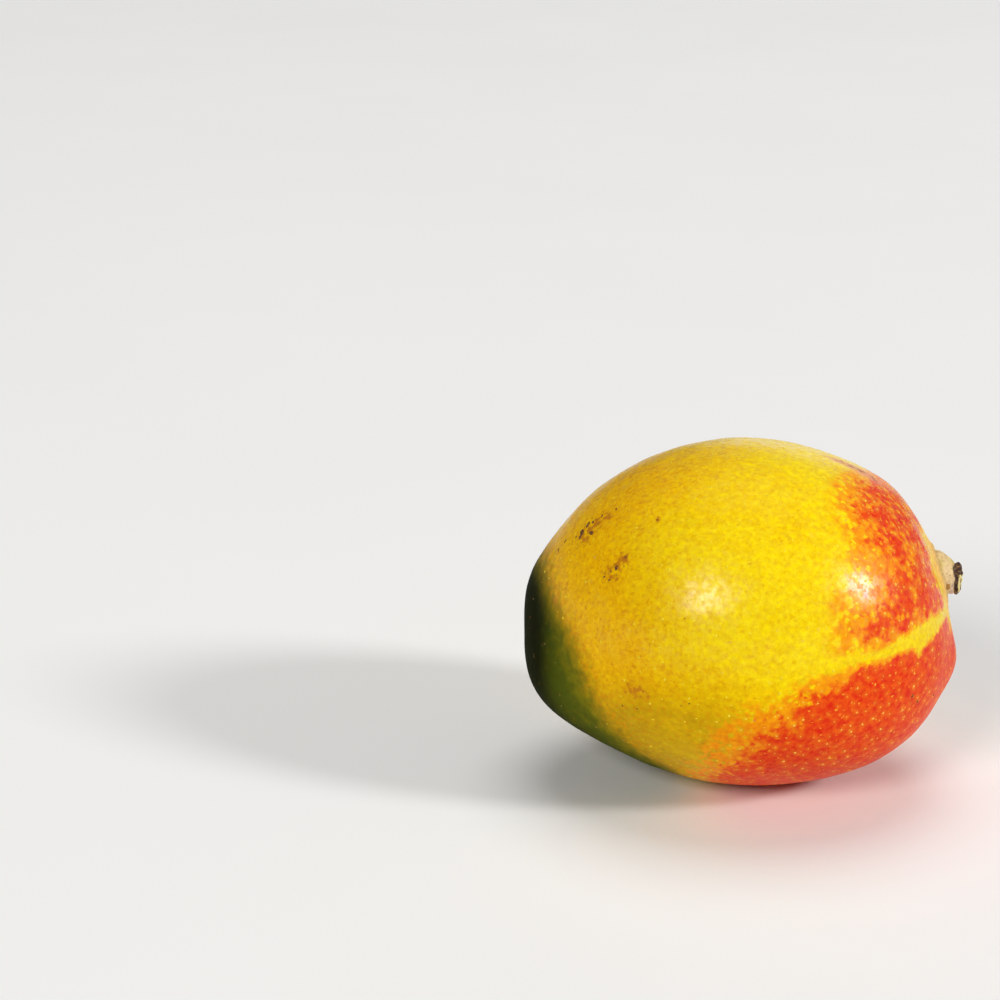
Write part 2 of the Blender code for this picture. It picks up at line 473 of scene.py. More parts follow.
class Graph:
    """Adds nodes to a tree and joins them."""

    def __init__(self, tree: bpy.types.NodeTree) -> None:
        """Starts on a tree that may already hold nodes."""
        self.tree = tree

    def fill(self, node: bpy.types.Node, values: dict) -> None:
        """Gives a node its inputs.

        Args:
            node: Any node of the tree.
            values: Inputs by name or index, each a socket to join or a plain value.
        """
        for name, value in values.items():
            if isinstance(value, Socket):
                self.tree.links.new(value, node.inputs[name])
            else:
                node.inputs[name].default_value = value

    def node(self, kind: str, values: dict | None = None, **settings) -> bpy.types.Node:
        """Adds a node.

        Args:
            kind: Blender's name for the type of node.
            values: Inputs by name or index, each a socket to join or a plain value.
            settings: The node's own settings.

        Returns:
            The new node.
        """
        node = self.tree.nodes.new(kind)
        for name, value in settings.items():
            setattr(node, name, value)
        self.fill(node, values or {})
        return node

    def out(self, kind: str, values: dict | None = None, **settings) -> Socket:
        """First output of a new node, which takes what node takes."""
        return self.node(kind, values, **settings).outputs[0]

    def math(self, operation: str, *terms: Term, clamp: bool = False) -> Socket:
        """Result of an operation on sockets and numbers."""
        values = dict(enumerate(terms))
        return self.out("ShaderNodeMath", values, operation=operation, use_clamp=clamp)

    def plus(self, first: Term, second: Term, clamp: bool = False) -> Socket:
        """Sum of two terms, kept from 0 to 1 where clamp is True."""
        return self.math("ADD", first, second, clamp=clamp)

    def less(self, first: Term, second: Term, clamp: bool = False) -> Socket:
        """First term less the second, kept from 0 to 1 where clamp is True."""
        return self.math("SUBTRACT", first, second, clamp=clamp)

    def times(self, first: Term, second: Term) -> Socket:
        """Product of two terms."""
        return self.math("MULTIPLY", first, second)

    def step(self, value: Term, low: float, high: float) -> Socket:
        """Soft step from 0 to 1.

        Args:
            value: What is stepped.
            low: Value at which the step gives 0.
            high: Value at which it gives 1, which may be the lower of the two.

        Returns:
            The step's socket.
        """
        turned = low > high
        values = {"Value": value, "From Min": min(low, high), "From Max": max(low, high)}
        values |= {"To Min": 1.0 if turned else 0.0, "To Max": 0.0 if turned else 1.0}
        return self.out("ShaderNodeMapRange", values, interpolation_type="SMOOTHSTEP")

    def mix(self, share: Term, under: Socket | Colour, over: Socket | Colour) -> Socket:
        """Colour between two colours.

        Args:
            share: How much of the upper colour shows, from 0 to 1.
            under: Lower colour.
            over: Upper colour.

        Returns:
            The colour's socket.
        """
        values = {0: share}
        for index, colour in ((6, under), (7, over)):
            values[index] = colour if isinstance(colour, Socket) else (*colour, 1.0)
        return self.node("ShaderNodeMix", values, data_type="RGBA").outputs[2]

    def waves(self, where: Socket, scale: Term, detail: float = 2.0, bend: float = 0.0) -> Socket:
        """Noise from 0 to 1 with a number of lumps a metre."""
        values = {"Vector": where, "Scale": scale, "Detail": detail, "Distortion": bend}
        return self.node("ShaderNodeTexNoise", values).outputs["Fac"]

    def noise(self, where: Socket, size: float, detail: float = 2.0, bend: float = 0.0) -> Socket:
        """Noise from 0 to 1, whose lumps are about size metres across."""
        return self.waves(where, 1.0 / size, detail, bend)

    def swing(self, where: Socket, size: float, detail: float = 2.0, bend: float = 0.0) -> Socket:
        """Noise from -0.5 to 0.5, whose lumps are about size metres across."""
        return self.less(self.noise(where, size, detail, bend), 0.5)

    def attribute(self, mark: Enum) -> Socket:
        """Value of a mark that the mesh holds."""
        return self.node("ShaderNodeAttribute", attribute_name=mark.value).outputs["Fac"]

    def chance(self, low: float, high: float, seed: int) -> Socket:
        """Random value between two, one for each strewn grain."""
        values = {2: low, 3: high, 8: seed}
        return self.node("FunctionNodeRandomValue", values, data_type="FLOAT").outputs[1]

    def own_place(self) -> Socket:
        """Place on the piece, in metres."""
        return self.node("ShaderNodeTexCoord").outputs["Object"]

    def effect(self, group: bpy.types.NodeTree, where: Socket, size: float, **values) -> Socket:
        """Places a shared node group.

        Args:
            group: The node group.
            where: Place on the piece.
            size: About how many metres across its pattern is.
            values: Its other inputs by name, each a socket to join or a plain value.

        Returns:
            The group's one output.
        """
        values |= {"Vector": where, "Scale": 1.0 / size}
        return self.out("ShaderNodeGroup", values, node_tree=group)


FLOAT = "NodeSocketFloat"
VECTOR = "NodeSocketVector"
COLOUR = "NodeSocketColor"


class SharedGroup:
    """Shader node group that reads a place and a scale, and puts out one value."""

    def __init__(self, name: str, inputs: dict[str, str], output: str, kind: str) -> None:
        """Starts the group.

        Args:
            name: Name of the group.
            inputs: Kind of socket for each input's name, besides Vector and Scale.
            output: Name of its output.
            kind: Kind of the output's socket.
        """
        self.tree = bpy.data.node_groups.new(name, "ShaderNodeTree")
        for socket, sort in ({"Vector": VECTOR, "Scale": FLOAT} | inputs).items():
            self.tree.interface.new_socket(socket, in_out="INPUT", socket_type=sort)
        self.tree.interface.new_socket(output, in_out="OUTPUT", socket_type=kind)
        self.graph = Graph(self.tree)
        self.given = self.tree.nodes.new("NodeGroupInput").outputs
        self.where = self.given["Vector"]
        self.scale = self.given["Scale"]

    def finish(self, result: Socket) -> bpy.types.NodeTree:
        """Joins the result to the group's output and gives the group."""
        self.graph.node("NodeGroupOutput", {0: result})
        return self.tree


class Effects:
    """Shader node groups that more than one finish uses."""

    def __init__(self) -> None:
        """Builds each group once."""
        self.flecks = self.make_flecks()
        self.spots = self.make_spots()
        self.mottle = self.make_mottle()
        self.grain = self.make_grain()

    def make_flecks(self) -> bpy.types.NodeTree:
        """Short curved dashes and blots, strewn unevenly.

        Returns:
            The group, which puts out a mask from 0 to 1.
        """
        group = SharedGroup("short_flecks", {"Width": FLOAT, "Cover": FLOAT}, "Mask", FLOAT)
        graph = group.graph
        thread = graph.waves(group.where, group.scale, bend=0.5)
        off = graph.math("ABSOLUTE", graph.less(thread, 0.46))
        line = graph.less(1.0, graph.math("DIVIDE", off, group.given["Width"]), clamp=True)
        strewn = graph.waves(group.where, graph.times(group.scale, 1.7), detail=3.0)
        level = graph.plus(strewn, graph.less(group.given["Cover"], 0.5))
        broken = graph.step(level, 0.47, 0.62)
        blots = graph.step(level, 0.6, 0.74)
        return group.finish(graph.math("MAXIMUM", graph.times(line, broken), blots))

    def make_spots(self) -> bpy.types.NodeTree:
        """Soft uneven spots of many sizes, strewn by chance.

        Returns:
            The group, which puts out a mask from 0 to 1.
        """
        group = SharedGroup("soft_spots", {"Size": FLOAT, "Share": FLOAT}, "Mask", FLOAT)
        graph = group.graph
        finer = {"Vector": group.where, "Scale": graph.times(group.scale, 2.0), "Detail": 1.0}
        stir = graph.node("ShaderNodeTexNoise", finer).outputs["Color"]
        middle = {0: stir, 1: (0.5, 0.5, 0.5)}
        centred = graph.out("ShaderNodeVectorMath", middle, operation="SUBTRACT")
        reach = {0: centred, "Scale": graph.math("DIVIDE", 0.8, group.scale)}
        push = graph.out("ShaderNodeVectorMath", reach, operation="SCALE")
        bent = graph.out("ShaderNodeVectorMath", {0: group.where, 1: push})
        cells = graph.node("ShaderNodeTexVoronoi", {"Vector": bent, "Scale": group.scale}).outputs
        chance = graph.node("ShaderNodeSeparateColor", {0: cells["Color"]}).outputs
        size = graph.times(group.given["Size"], graph.plus(0.45, chance[1]))
        spot = graph.step(graph.math("DIVIDE", cells["Distance"], size), 1.0, 0.25)
        kept = graph.math("LESS_THAN", chance[0], group.given["Share"])
        return group.finish(graph.times(spot, kept))

    def make_mottle(self) -> bpy.types.NodeTree:
        """Uneven lightness of a colour, in broad and small patches.

        Returns:
            The group, which puts out a colour.
        """
        group = SharedGroup("mottle", {"Amount": FLOAT, "Color": COLOUR}, "Color", COLOUR)
        graph = group.graph
        patch = graph.less(graph.waves(group.where, group.scale, detail=4.0), 0.5)
        swing = graph.times(patch, group.given["Amount"])
        light = graph.plus(1.0, graph.times(swing, 2.0))
        hue = graph.plus(0.5, graph.times(swing, 0.22))
        change = {"Color": group.given["Color"], "Value": light, "Hue": hue}
        return group.finish(graph.node("ShaderNodeHueSaturation", change).outputs["Color"])

    def make_grain(self) -> bpy.types.NodeTree:
        """Fine relief: shallow dimples like those of a waxy rind.

        Returns:
            The group, which puts out a normal.
        """
        group = SharedGroup("waxy_grain", {"Depth": FLOAT}, "Normal", VECTOR)
        graph = group.graph
        swirls = graph.waves(group.where, group.scale, detail=2.5, bend=0.6)
        pits = graph.waves(group.where, graph.times(group.scale, 4.5), detail=2.0, bend=0.8)
        relief = graph.plus(swirls, graph.times(pits, 0.16))
        bump = {"Strength": 1.0, "Distance": group.given["Depth"], "Height": relief}
        return group.finish(graph.node("ShaderNodeBump", bump).outputs["Normal"])


def new_material(name: str) -> tuple[bpy.types.Material, Graph, bpy.types.Node]:
    """Starts a material.

    Args:
        name: Name of the material.

    Returns:
        The material, its graph and its Principled shader.
    """
    material = bpy.data.materials.new(name)
    material.use_nodes = True
    return material, Graph(material.node_tree), material.node_tree.nodes["Principled BSDF"]


@dataclass(frozen=True)
class SkinFinish:
    """Waxy mango skin, whose colours follow the marks on the mesh."""

    yellow: Colour = (0.93, 0.68, 0.002)
    gold: Colour = (0.90, 0.50, 0.001)
    olive: Colour = (0.50, 0.31, 0.003)
    fleck: Colour = (0.72, 0.29, 0.002)
    pale: Colour = (0.95, 0.76, 0.03)
    dusk: Colour = (0.46, 0.27, 0.004)
    moss: Colour = (0.22, 0.18, 0.005)
    green: Colour = (0.085, 0.105, 0.005)
    # Painted shade: near-black green for the beak's end, partly dark skin and partly shade
    painted_shade_green: Colour = (0.006, 0.009, 0.001)
    orange: Colour = (0.92, 0.33, 0.004)
    red_orange: Colour = (0.88, 0.13, 0.008)
    red: Colour = (0.80, 0.052, 0.007)
    halo: Colour = (0.93, 0.48, 0.02)
    pin: Colour = (0.95, 0.55, 0.05)
    # Cream of the ring round the stem, also a painted sheen along the top and upper right edges
    cream: Colour = (0.93, 0.53, 0.13)
    cork: Colour = (0.74, 0.47, 0.17)
    russet: Colour = (0.55, 0.19, 0.008)
    scar: Colour = (0.76, 0.31, 0.17)
    scar_line: Colour = (0.42, 0.12, 0.05)
    freckle: Colour = (0.10, 0.04, 0.01)
    roughness: float = 0.38
    roughness_swing: float = 0.16
    roughness_dry: float = 0.45
    gloss: float = 0.08
    gloss_tint: Colour = (1.0, 0.78, 0.08)
    coat: float = 0.9
    coat_least: float = 0.24
    coat_smears: float = 0.76
    coat_roughness: float = 0.27
    grain_size: float = 2.2 * MM
    grain_depth: float = 0.2 * MM

    def ground(self, graph: Graph, where: Socket, effects: Effects) -> Socket:
        """Colour of the skin before its blush: yellow, gold and olive with fine brown flecks.

        Args:
            graph: Graph of the material.
            where: Place on the piece.
            effects: The shared node groups.

        Returns:
            The colour's socket.
        """
        broad = graph.times(graph.swing(where, 24 * MM, detail=3.0), 1.1)
        small = graph.times(graph.swing(where, 5 * MM, detail=3.0), 0.7)
        drift = graph.plus(broad, small)
        gold = graph.plus(graph.attribute(Mark.GOLD), drift, clamp=True)
        colour = graph.mix(gold, self.yellow, self.gold)
        olive = graph.times(graph.attribute(Mark.OLIVE), graph.plus(0.75, drift))
        colour = graph.mix(olive, colour, self.olive)
        fine = graph.effect(effects.flecks, where, 1.6 * MM, Width=0.09, Cover=0.5)
        coarse = graph.effect(effects.flecks, where, 3.4 * MM, Width=0.06, Cover=0.47)
        flecks = graph.math("MAXIMUM", fine, graph.times(coarse, 0.8))
        crowd = graph.plus(0.3, graph.times(gold, 0.52), clamp=True)
        colour = graph.mix(graph.times(flecks, crowd), colour, self.fleck)
        pale = graph.effect(effects.spots, where, 1.7 * MM, Size=0.2, Share=0.7)
        return graph.mix(graph.times(pale, 0.4), colour, self.pale)

    def greened(self, graph: Graph, where: Socket, under: Socket) -> Socket:
        """Adds the green of the beak, which deepens away from its freckled edge, and painted shade
        at its end.

        Args:
            graph: Graph of the material.
            where: Place on the piece.
            under: Colour under the green.

        Returns:
            The colour's socket.
        """
        rag = graph.swing(where, 2.4 * MM, detail=4.0)
        green = graph.attribute(Mark.GREEN)
        level = graph.plus(green, graph.times(rag, 0.5))
        freckled = graph.times(graph.step(level, 0.0, 0.2), graph.step(level, 0.7, 0.3))
        dotted = graph.step(graph.noise(where, 1.1 * MM, detail=2.0), 0.48, 0.66)
        stained = graph.times(graph.times(freckled, dotted), 0.6)
        colour = graph.mix(graph.step(level, 0.02, 0.5), under, self.dusk)
        colour = graph.mix(stained, colour, self.fleck)
        colour = graph.mix(graph.step(level, 0.22, 0.75), colour, self.moss)
        uneven = graph.swing(where, 7 * MM, detail=4.0, bend=0.8)
        deeper = graph.plus(level, graph.times(uneven, 0.7))
        colour = graph.mix(graph.step(deeper, 0.5, 1.0), colour, self.green)
        # Painted shade: the beak's end goes nearly black, partly dark green skin and partly shade
        painted_shade = graph.plus(graph.attribute(Mark.SHADE), graph.times(rag, 0.12))
        painted_shade = graph.times(graph.step(painted_shade, 0.0, 0.95), graph.step(green, 0.2, 0.8))
        return graph.mix(painted_shade, colour, self.painted_shade_green)

    def blushed(self, graph: Graph, where: Socket, under: Socket, effects: Effects) -> Socket:
        """Adds the blush, which breaks up round the pale dots towards its edges.

        Args:
            graph: Graph of the material.
            where: Place on the piece.
            under: Colour under the blush.
            effects: The shared node groups.

        Returns:
            The colour's socket.
        """
        blush = graph.attribute(Mark.BLUSH)
        pale = graph.less(1.0, blush)
        edge = graph.times(graph.times(blush, pale), 4.0)
        small = graph.swing(where, 1.6 * MM, detail=1.5, bend=0.4)
        rag = graph.swing(where, 3.6 * MM, detail=2.0, bend=0.4)
        patch = graph.swing(where, 10 * MM, detail=3.0)
        tears = graph.plus(graph.plus(rag, small), graph.times(patch, 0.4))
        level = graph.plus(blush, graph.times(graph.times(tears, edge), 0.55))
        halo = graph.attribute(Mark.HALO)
        bite = graph.times(halo, graph.plus(0.06, graph.times(edge, 0.32)))
        level = graph.less(level, bite)
        spots = graph.effect(effects.spots, where, 2.0 * MM, Size=0.42, Share=0.85)
        dapple = graph.times(spots, graph.plus(0.06, graph.times(edge, 0.5)))
        level = graph.less(level, dapple)
        colour = graph.mix(graph.step(level, 0.0, 0.4), under, self.orange)
        colour = graph.mix(graph.step(level, 0.46, 0.94), colour, self.red_orange)
        swirl = graph.plus(graph.times(small, 0.5), graph.plus(rag, patch))
        redness = graph.plus(level, graph.times(swirl, 0.6))
        colour = graph.mix(graph.step(redness, 0.5, 1.0), colour, self.red)
        faded = graph.times(graph.step(redness, 0.86, 0.66), graph.step(blush, 0.75, 1.0))
        colour = graph.mix(graph.times(faded, 0.5), colour, self.orange)
        ring = graph.times(graph.times(halo, blush), 0.2)
        colour = graph.mix(ring, colour, self.halo)
        pins = graph.effect(effects.spots, where, 1.5 * MM, Size=0.21, Share=0.8)
        shown = graph.times(graph.times(pins, graph.step(blush, 0.1, 0.5)), 0.8)
        return graph.mix(shown, colour, self.pin)

    def marked(self, graph: Graph, where: Socket, under: Socket) -> Socket:
        """Adds the pale ring round the stem and a painted sheen on the top edges, cork, russet
        stains, the scar and dark freckles.

        Args:
            graph: Graph of the material.
            where: Place on the piece.
            under: Colour under these marks.

        Returns:
            The colour's socket.
        """
        swing = graph.swing(where, 1.6 * MM, detail=4.0)
        # The cream mark holds the ring round the stem and a painted sheen along the top edges
        cream = graph.plus(graph.attribute(Mark.CREAM_AND_SHEEN), graph.times(swing, 0.3))
        colour = graph.mix(graph.step(cream, 0.2, 1.0), under, self.cream)
        stain = graph.plus(graph.attribute(Mark.RUSSET), graph.times(swing, 2.2))
        colour = graph.mix(graph.step(stain, 0.4, 0.95), colour, self.russet)
        scar = graph.attribute(Mark.SCAR)
        lobes = graph.swing(where, 3.2 * MM, detail=3.0)
        frayed = graph.plus(scar, lobes)
        colour = graph.mix(graph.times(graph.step(frayed, 0.25, 0.7), 0.75), colour, self.scar)
        lines = graph.plus(scar, graph.times(swing, 2.0))
        colour = graph.mix(graph.step(lines, 0.85, 1.2), colour, self.scar_line)
        ragged = graph.plus(swing, lobes)
        cork = graph.plus(graph.attribute(Mark.CORK), graph.times(ragged, 0.95))
        colour = graph.mix(graph.step(cork, 0.32, 0.62), colour, self.cork)
        cells = graph.node("ShaderNodeTexVoronoi", {"Vector": where, "Scale": 1 / (5.2 * MM)})
        chance = graph.out("ShaderNodeSeparateColor", {0: cells.outputs["Color"]})
        chosen = graph.step(chance, 0.9, 0.93)
        freckle = graph.times(graph.step(cells.outputs["Distance"], 0.05, 0.025), chosen)
        return graph.mix(graph.times(freckle, 0.85), colour, self.freckle)

    def make(self, effects: Effects) -> bpy.types.Material:
        """Builds the material.

        Args:
            effects: The shared node groups.

        Returns:
            The skin's material.
        """
        material, graph, shader = new_material("mango_skin")
        where = graph.own_place()
        colour = self.ground(graph, where, effects)
        colour = self.greened(graph, where, colour)
        colour = self.blushed(graph, where, colour, effects)
        colour = self.marked(graph, where, colour)
        colour = graph.effect(effects.mottle, where, 1.4 * MM, Amount=0.2, Color=colour)
        normal = graph.effect(effects.grain, where, self.grain_size, Depth=self.grain_depth)
        dry = graph.math("MAXIMUM", graph.attribute(Mark.CORK), graph.attribute(Mark.GREEN))
        dull = graph.times(dry, self.roughness_dry)
        patch = graph.times(graph.noise(where, 3 * MM, detail=3.0), self.roughness_swing)
        rough = graph.plus(self.roughness - 0.5 * self.roughness_swing, patch)
        rough = graph.plus(rough, dull, clamp=True)
        smears = graph.effect(effects.flecks, where, 2.6 * MM, Width=0.16, Cover=0.6)
        wax = graph.times(graph.attribute(Mark.WAX), self.coat)
        smeared = graph.plus(self.coat_least, graph.times(smears, self.coat_smears))
        coat = graph.times(wax, smeared)
        surface = {"Base Color": colour, "Normal": normal, "Roughness": rough, "Coat Weight": coat}
        surface |= {"Coat Roughness": self.coat_roughness, "Specular IOR Level": self.gloss}
        graph.fill(shader, surface | {"Specular Tint": (*self.gloss_tint, 1.0)})
        return material


@dataclass(frozen=True)
class DotFinish:
    """Pale pores of the skin: cream in the blush, light yellow on yellow, dull on green."""

    on_red: Colour = (0.95, 0.56, 0.09)
    on_yellow: Colour = (0.94, 0.73, 0.03)
    on_green: Colour = (0.13, 0.13, 0.012)
    roughness: float = 0.42
    gloss: float = 0.15

    def make(self, effects: Effects) -> bpy.types.Material:
        """Builds the material of the dots.

        Args:
            effects: The shared node groups.

        Returns:
            The dots' material.
        """
        material, graph, shader = new_material("mango_pores")
        where = graph.own_place()
        colour = graph.mix(graph.attribute(Mark.BLUSH), self.on_yellow, self.on_red)
        colour = graph.mix(graph.step(graph.attribute(Mark.GREEN), 0.3, 0.8), colour, self.on_green)
        colour = graph.effect(effects.mottle, where, 2.0 * MM, Amount=0.3, Color=colour)
        surface = {"Base Color": colour, "Roughness": self.roughness}
        graph.fill(shader, surface | {"Specular IOR Level": self.gloss})
        return material


@dataclass(frozen=True)
class CorkFinish:
    """Dry brown cork with paler grains, on scabs and round the foot of the stem."""

    name: str
    dark: Colour
    light: Colour
    roughness: float = 0.78

    def make(self, effects: Effects) -> bpy.types.Material:
        """Builds the material of the cork.

        Args:
            effects: The shared node groups.

        Returns:
            The cork's material.
        """
        material, graph, shader = new_material(self.name)
        where = graph.own_place()
        grains = graph.step(graph.noise(where, 0.5 * MM, detail=3.0), 0.42, 0.64)
        colour = graph.mix(grains, self.dark, self.light)
        colour = graph.effect(effects.mottle, where, 2.5 * MM, Amount=0.4, Color=colour)
        normal = graph.effect(effects.grain, where, 0.5 * MM, Depth=0.08 * MM)
        graph.fill(shader, {"Base Color": colour, "Normal": normal, "Roughness": self.roughness})
        return material


@dataclass(frozen=True)
class StemFinish:
    """Stem stub: a pale dry cone with brown flecks, and a dark broken cap with pale wood."""

    cone: Colour = (0.78, 0.56, 0.26)
    cone_tint: Colour = (0.70, 0.54, 0.17)
    fleck: Colour = (0.17, 0.10, 0.03)
    spot: Colour = (0.42, 0.19, 0.012)
    # Duller mauve on the lower near side of the cone, below the cap
    mauve_below: Colour = (0.55, 0.36, 0.34)
    singed: Colour = (0.36, 0.24, 0.09)
    cap: Colour = (0.045, 0.018, 0.014)
    cap_light: Colour = (0.24, 0.13, 0.045)
    wood: Colour = (0.74, 0.64, 0.27)
    pith: Colour = (0.50, 0.31, 0.11)

    def make(self, effects: Effects) -> bpy.types.Material:
        """Builds the material of the stub.

        Args:
            effects: The shared node groups.

        Returns:
            The stub's material.
        """
        material, graph, shader = new_material("stem_bark")
        where = graph.own_place()
        small = graph.noise(where, 0.9 * MM, detail=4.0)
        swing = graph.less(small, 0.5)
        tint = graph.step(graph.noise(where, 3.5 * MM), 0.45, 0.7)
        colour = graph.mix(tint, self.cone, self.cone_tint)
        flecks = graph.effect(effects.flecks, where, 1.7 * MM, Width=0.06, Cover=0.5)
        colour = graph.mix(graph.times(flecks, 0.8), colour, self.fleck)
        mauve_below = graph.times(graph.attribute(StemMark.MAUVE_BELOW), 0.8)
        colour = graph.mix(mauve_below, colour, self.mauve_below)
        spot = graph.plus(graph.attribute(StemMark.SPOT), swing)
        colour = graph.mix(graph.step(spot, 0.45, 0.6), colour, self.spot)
        dark = graph.mix(graph.step(small, 0.46, 0.68), self.cap, self.cap_light)
        tears = graph.swing(where, 1.8 * MM, detail=3.0)
        torn = graph.plus(graph.times(swing, 0.7), graph.times(tears, 1.3))
        cap = graph.plus(graph.attribute(StemMark.CAP), torn)
        colour = graph.mix(graph.step(cap, 0.2, 0.5), colour, self.singed)
        colour = graph.mix(graph.step(cap, 0.4, 0.62), colour, dark)
        pith = graph.plus(graph.attribute(StemMark.PITH), graph.times(swing, 1.6))
        colour = graph.mix(graph.step(pith, 0.55, 0.8), colour, self.pith)
        wood = graph.plus(graph.attribute(StemMark.WOOD), graph.times(swing, 0.7))
        colour = graph.mix(graph.step(wood, 0.5, 0.68), colour, self.wood)
        colour = graph.effect(effects.mottle, where, 1.2 * MM, Amount=0.25, Color=colour)
        normal = graph.effect(effects.grain, where, 0.6 * MM, Depth=0.06 * MM)
        rough = graph.plus(0.5, graph.times(graph.attribute(StemMark.CAP), 0.2))
        graph.fill(shader, {"Base Color": colour, "Normal": normal, "Roughness": rough})
        return material


@dataclass(frozen=True)
class FloorFinish:
    """Plain matt near-white paper."""

    colour: Colour = (0.93, 0.93, 0.925)
    roughness: float = 0.9
    patch_size: float = 1.0 / 6.0

    def make(self, effects: Effects) -> bpy.types.Material:
        """Builds the material of the floor.

        Args:
            effects: The shared node groups.

        Returns:
            The floor's material.
        """
        material, graph, shader = new_material("pale_floor")
        where = graph.own_place()
        paper = (*self.colour, 1.0)
        colour = graph.effect(effects.mottle, where, self.patch_size, Amount=0.02, Color=paper)
        graph.fill(shader, {"Base Color": colour, "Roughness": self.roughness})
        return material


@dataclass(frozen=True)
class SkinMarks:
    """Where the colours of the skin lie."""

    low_blush: Area = Area(
        (
            (6.0, 2.0, 3.0), (-9.0, 4.4, 1.5), (-15.2, 3.9, 1.3), (-20.4, 2.6, 1.3),
            (-26.4, 1.4, 1.2), (-28.4, -1.0, 1.0), (-30.4, 1.8, 1.3), (-34.0, 2.4, 1.5),
            (-41.5, 1.4, 2.0), (-49.3, 1.5, 3.2), (-55.1, -0.8, 5.0), (-63.0, -3.6, 8.0),
            (-69.0, -9.0, 11.0), (-79.5, -14.5, 14.0), (-86.0, -20.0, 15.0), (-90.5, -28.5, 15.0),
            (-96.0, -38.0, 14.0), (-104.0, -48.0, 12.0), (-112.0, -66.0, 10.0), (60.0, -72.0, 12.0),
            (44.0, -44.0, 12.0), (34.0, -22.0, 11.0), (20.0, -8.0, 7.0),
        )
    )
    high_blush: Area = Area(
        (
            (-10.0, 7.0, 1.5), (-22.7, 7.8, 1.5), (-29.5, 7.4, 1.6), (-34.0, 6.4, 2.0),
            (-41.5, 5.4, 3.5), (-48.0, 6.2, 6.0), (-55.0, 9.0, 10.0), (-52.0, 17.0, 13.0),
            (-44.0, 26.0, 13.0), (-39.5, 34.2, 13.0), (-37.0, 40.1, 12.0), (-34.0, 46.5, 11.0),
            (-24.0, 52.5, 10.0), (-8.0, 54.0, 8.0), (10.0, 49.5, 5.0), (30.0, 44.0, 6.0),
            (42.0, 32.0, 8.0), (36.0, 16.0, 8.0), (16.0, 10.0, 6.0), (0.0, 9.0, 4.0),
        )
    )
    far_blush: Area = Area(
        (
            (30.0, 38.0, 10.0), (50.0, 30.0, 12.0), (72.0, 8.0, 14.0), (74.0, -16.0, 14.0),
            (52.0, -34.0, 12.0), (28.0, -10.0, 8.0), (24.0, 12.0, 6.0),
        )
    )
    streak: Stroke = Stroke(
        (
            (-2.0, 5.6, 0.6), (-9.0, 5.8, 0.9), (-15.2, 5.5, 1.3), (-21.7, 5.4, 1.9),
            (-27.7, 5.0, 2.1), (-34.0, 4.5, 1.6), (-41.5, 3.4, 1.2), (-49.0, 3.2, 1.0),
            (-57.0, 2.4, 0.8),
        ),
        soft=1.1,
    )
    green: Area = Area(
        (
            (-167.0, 13.0, 14.0), (-157.2, 8.0, 12.0), (-148.0, 3.8, 11.0), (-141.2, -1.8, 11.0),
            (-137.0, -7.5, 11.5), (-134.2, -13.2, 12.0), (-131.5, -20.2, 13.0),
            (-128.5, -28.0, 13.0), (-124.5, -37.0, 14.0), (-117.0, -47.0, 12.0),
            (-120.0, -60.0, 11.0), (170.0, -64.0, 10.0), (146.0, -44.0, 9.0), (150.0, -20.0, 8.0),
            (158.0, 2.0, 11.0), (176.0, 15.0, 14.0),
        )
    )
    # Painted shade: where the beak's end is darkened in the skin colour, also round its far side
    shade: tuple[Cloud, ...] = (
        Cloud(-170.0, 0.0, 12.0, 0.85), Cloud(-164.0, -16.0, 9.0, 0.45),
        Cloud(-152.0, -36.0, 9.0, 0.4), Cloud(176.0, -18.0, 16.0, 0.8),
    )
    olive: tuple[Cloud, ...] = (
        Cloud(-112.0, -20.0, 9.0, 0.75), Cloud(-103.0, -30.0, 9.0, 0.85),
        Cloud(-122.0, -24.0, 9.0, 0.7), Cloud(-104.0, -42.0, 11.0, 0.6),
        Cloud(-93.0, -18.0, 8.0, 0.5), Cloud(130.0, -30.0, 16.0, 0.6),
    )
    gold: tuple[Cloud, ...] = (
        Cloud(-150.0, 22.0, 18.0, 0.9), Cloud(-135.0, 2.0, 14.0, 0.75),
        Cloud(-150.0, 58.0, 18.0, 0.7), Cloud(-120.0, -10.0, 11.0, 0.75),
        Cloud(-96.0, -20.0, 13.0, 0.6), Cloud(-108.0, 12.0, 12.0, 0.3),
        Cloud(150.0, 30.0, 26.0, 0.7), Cloud(95.0, -30.0, 26.0, 0.6),
    )
    cream_away: float = 13.0
    cream_soft: float = 4.5
    blush_away: float = 11.5
    blush_soft: float = 8.5
    high_share: float = 0.88
    far_share: float = 0.62
    # Painted sheen along the top edge and the upper right edge, laid into the skin colour
    painted_sheen_top: tuple[Cloud, ...] = (
        Cloud(0.0, 60.0, 8.0, 0.35), Cloud(18.0, 38.0, 7.0, 0.45),
    )
    russet: tuple[Cloud, ...] = (
        Cloud(-154.5, 31.0, 3.6, 0.75), Cloud(-150.0, 37.5, 3.0, 0.6),
        Cloud(-133.2, 24.6, 3.0, 0.85), Cloud(-129.8, 29.5, 1.9, 0.8),
        Cloud(-125.0, 44.0, 0.9, 0.8), Cloud(-118.0, -8.6, 3.6, 0.7),
        Cloud(-153.7, 8.3, 2.0, 0.5), Cloud(-28.5, -13.0, 3.0, 0.4),
        Cloud(118.0, 40.0, 4.0, 0.7), Cloud(64.0, 52.0, 2.5, 0.6),
        Cloud(140.0, -2.0, 3.0, 0.6),
    )
    scar: Stroke = Stroke(
        (
            (12.5, 63.0, 0.6), (11.0, 58.5, 2.4), (9.5, 53.5, 3.0), (8.0, 48.5, 2.4),
            (4.5, 43.5, 0.6),
        ),
        soft=2.8,
    )
    cork_away: float = 8.0
    cork_spread: float = 1.15
    wax_from: float = -8.0
    wax_full: float = 18.0
    wax_lost_on_scar: float = 0.8
    wax_lost_on_green: float = 2.0
    clear_of_cork: float = 2.0
    dots_on_yellow: float = 0.42
    dots_more_on_red: float = 0.58
    dots_lost_on_green: float = 0.95

